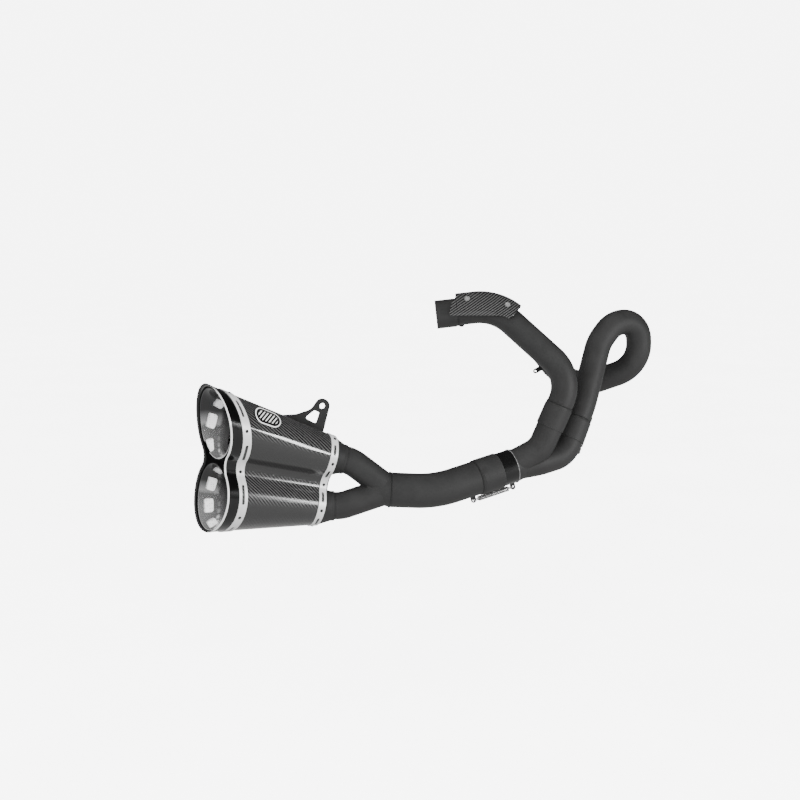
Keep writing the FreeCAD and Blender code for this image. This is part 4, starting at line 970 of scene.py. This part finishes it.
def badge():
    """Thin plate bent round the upper lobe, which is nearly a cylinder there."""
    base, rotation = section(BADGE_STATION)
    spacing = INLET_LOBES["spacing"] + (OUTLET_LOBES["spacing"] - INLET_LOBES["spacing"]) * BADGE_STATION
    radius = INLET_LOBES["upper"] + (OUTLET_LOBES["upper"] - INLET_LOBES["upper"]) * BADGE_STATION
    tilt = math.radians(BADGE_TILT)
    centre = base + rotation[:, 2] * spacing / 2
    outward = rotation @ np.array([0, -math.cos(tilt), math.sin(tilt)])
    outward = unit(outward - UPPER_FORWARD * outward.dot(UPPER_FORWARD))
    upward = np.cross(outward, UPPER_FORWARD)
    if upward[2] < 0:
        upward = -upward
    straight = (BADGE_LENGTH - BADGE_HEIGHT) / 2
    taper = (OUTLET_LOBES["upper"] - INLET_LOBES["upper"]) / UPPER_LENGTH
    bend = radius + BADGE_RISE
    points, uvs = [], []
    for ring in range(BADGE_RINGS + 1):
        share = ring / BADGE_RINGS
        for side in range(BADGE_SIDES):
            angle = 2 * math.pi * side / BADGE_SIDES
            along = math.cos(angle) * BADGE_HEIGHT / 2 + (straight if math.cos(angle) > 0 else -straight)
            along, across = along * share, math.sin(angle) * BADGE_HEIGHT / 2 * share
            lean = across / bend
            radial = outward * math.cos(lean) + upward * math.sin(lean)
            points.append((centre + UPPER_FORWARD * along + radial * (bend - along * taper)) * MM)
            uvs.append((along * MM, across * MM))
    faces = grid_faces(BADGE_RINGS + 1, BADGE_SIDES, wrap=True)
    piece = mesh_piece("badge_plate_print", points, faces, badge_paint("badge_paint"), "silencer", uvs,
                       True)
    thickness = piece.modifiers.new("thickness", "SOLIDIFY")
    thickness.thickness = BADGE_THICKNESS * MM
    thickness.offset = -1
    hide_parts("badge_plate")


badge()


# ---------------------------------------------------------------- floor, light and camera
FLOOR_DROP, FLOOR_RADIUS, FLOOR_GLOW = 0.30, 40.0, 6.0
BACKDROP = 6.7


def plain_floor():
    """White seamless floor that glows evenly, so it shows no horizon."""
    drop = CAD_BOX[0][2] - FLOOR_DROP
    turns = np.arange(64) * math.pi / 32
    points = [(math.cos(a) * FLOOR_RADIUS, math.sin(a) * FLOOR_RADIUS, drop) for a in turns]
    material, tree, shader = new_material("pale_floor")
    haze = tree.noise(tree.object_point(), 3, 3)
    colour = tree.ramp(haze, [(0.3, grey(0.86)), (0.7, grey(0.9))])
    put(tree, shader, Base_Color=colour, Roughness=0.9, Emission_Color=colour, Emission_Strength=FLOOR_GLOW)
    floor = mesh_piece("studio_floor", points, [tuple(range(64))], material, None, smooth=False)
    floor.visible_glossy = False
    floor.visible_diffuse = False


def area_light(name, location, target, size, power, glossy=True):
    lamp = bpy.data.lights.new(name, "AREA")
    lamp.shape = "RECTANGLE"
    lamp.size, lamp.size_y = size
    lamp.energy = power
    light = bpy.data.objects.new(name, lamp)
    light.location = location
    light.rotation_euler = (Vector(target) - Vector(location)).to_track_quat("-Z", "Y").to_euler()
    light.visible_glossy = glossy
    light.visible_camera = False
    bpy.context.scene.collection.objects.link(light)
    return light


def studio():
    """White backdrop, even soft light and a room to reflect that is pale below and dark above."""
    world = bpy.data.worlds.new("studio_world")
    bpy.context.scene.world = world
    world.use_nodes = True
    tree = Tree(world.node_tree)
    world.node_tree.nodes.clear()
    height = tree.part(tree.add("TexCoord").outputs["Generated"], "Z")
    share = tree.remap(height, -1.0, 1.0)
    room = tree.ramp(share, [(0.0, grey(0.8)), (0.3, grey(0.9)), (0.46, grey(1.0)), (0.5, grey(0.12)),
                             (0.7, grey(0.06)), (1.0, grey(0.04))])
    rays = tree.add("LightPath")
    colour = tree.mix(rays.outputs["Is Glossy Ray"], grey(0.52), room)
    colour = tree.mix(rays.outputs["Is Camera Ray"], colour, grey(BACKDROP))
    background = tree.add("Background", Color=colour, Strength=1.0)
    output = tree.add("OutputWorld")
    tree.tree.links.new(background.outputs[0], output.inputs[0])
    sun = bpy.data.lights.new("broad_top_light", "SUN")
    sun.energy = 5.0
    sun.angle = math.radians(100)
    above = bpy.data.objects.new("broad_top_light", sun)
    above.rotation_euler = (math.radians(38), math.radians(-14), 0)
    above.visible_glossy = False
    bpy.context.scene.collection.objects.link(above)
    centre = (0.2, -0.02, 0.0)
    area_light("front_panel", (-1.0, -2.4, 0.5), centre, (2.0, 1.2), 55, False)
    area_light("key_panel", (-2.6, -1.7, 0.9), (0.4, -0.02, 0.0), (0.5, 0.5), 75, False)
    area_light("streak_strip", (1.463, -1.375, 0.15), (-0.05, -0.08, -0.06), (0.16, 0.5), 14)


CAMERA_PLACE = (-0.5046, -2.0106, 0.3015)
CAMERA_AZIMUTH, CAMERA_ELEVATION, CAMERA_LENS = -18.0, 8.0, 51.75


def photo_camera():
    """Camera outboard of the system, a little behind it and above, looking slightly down."""
    camera = bpy.data.cameras.new("photo_camera")
    camera.sensor_width = 36
    camera.lens = CAMERA_LENS
    camera.clip_end = 200
    holder = bpy.data.objects.new("photo_camera", camera)
    azimuth, elevation = math.radians(CAMERA_AZIMUTH), math.radians(CAMERA_ELEVATION)
    forward = Vector((-math.sin(azimuth) * math.cos(elevation), math.cos(azimuth) * math.cos(elevation),
                      -math.sin(elevation)))
    holder.location = CAMERA_PLACE
    holder.rotation_euler = forward.to_track_quat("-Z", "Y").to_euler()
    bpy.context.scene.collection.objects.link(holder)
    bpy.context.scene.camera = holder


plain_floor()
studio()
photo_camera()
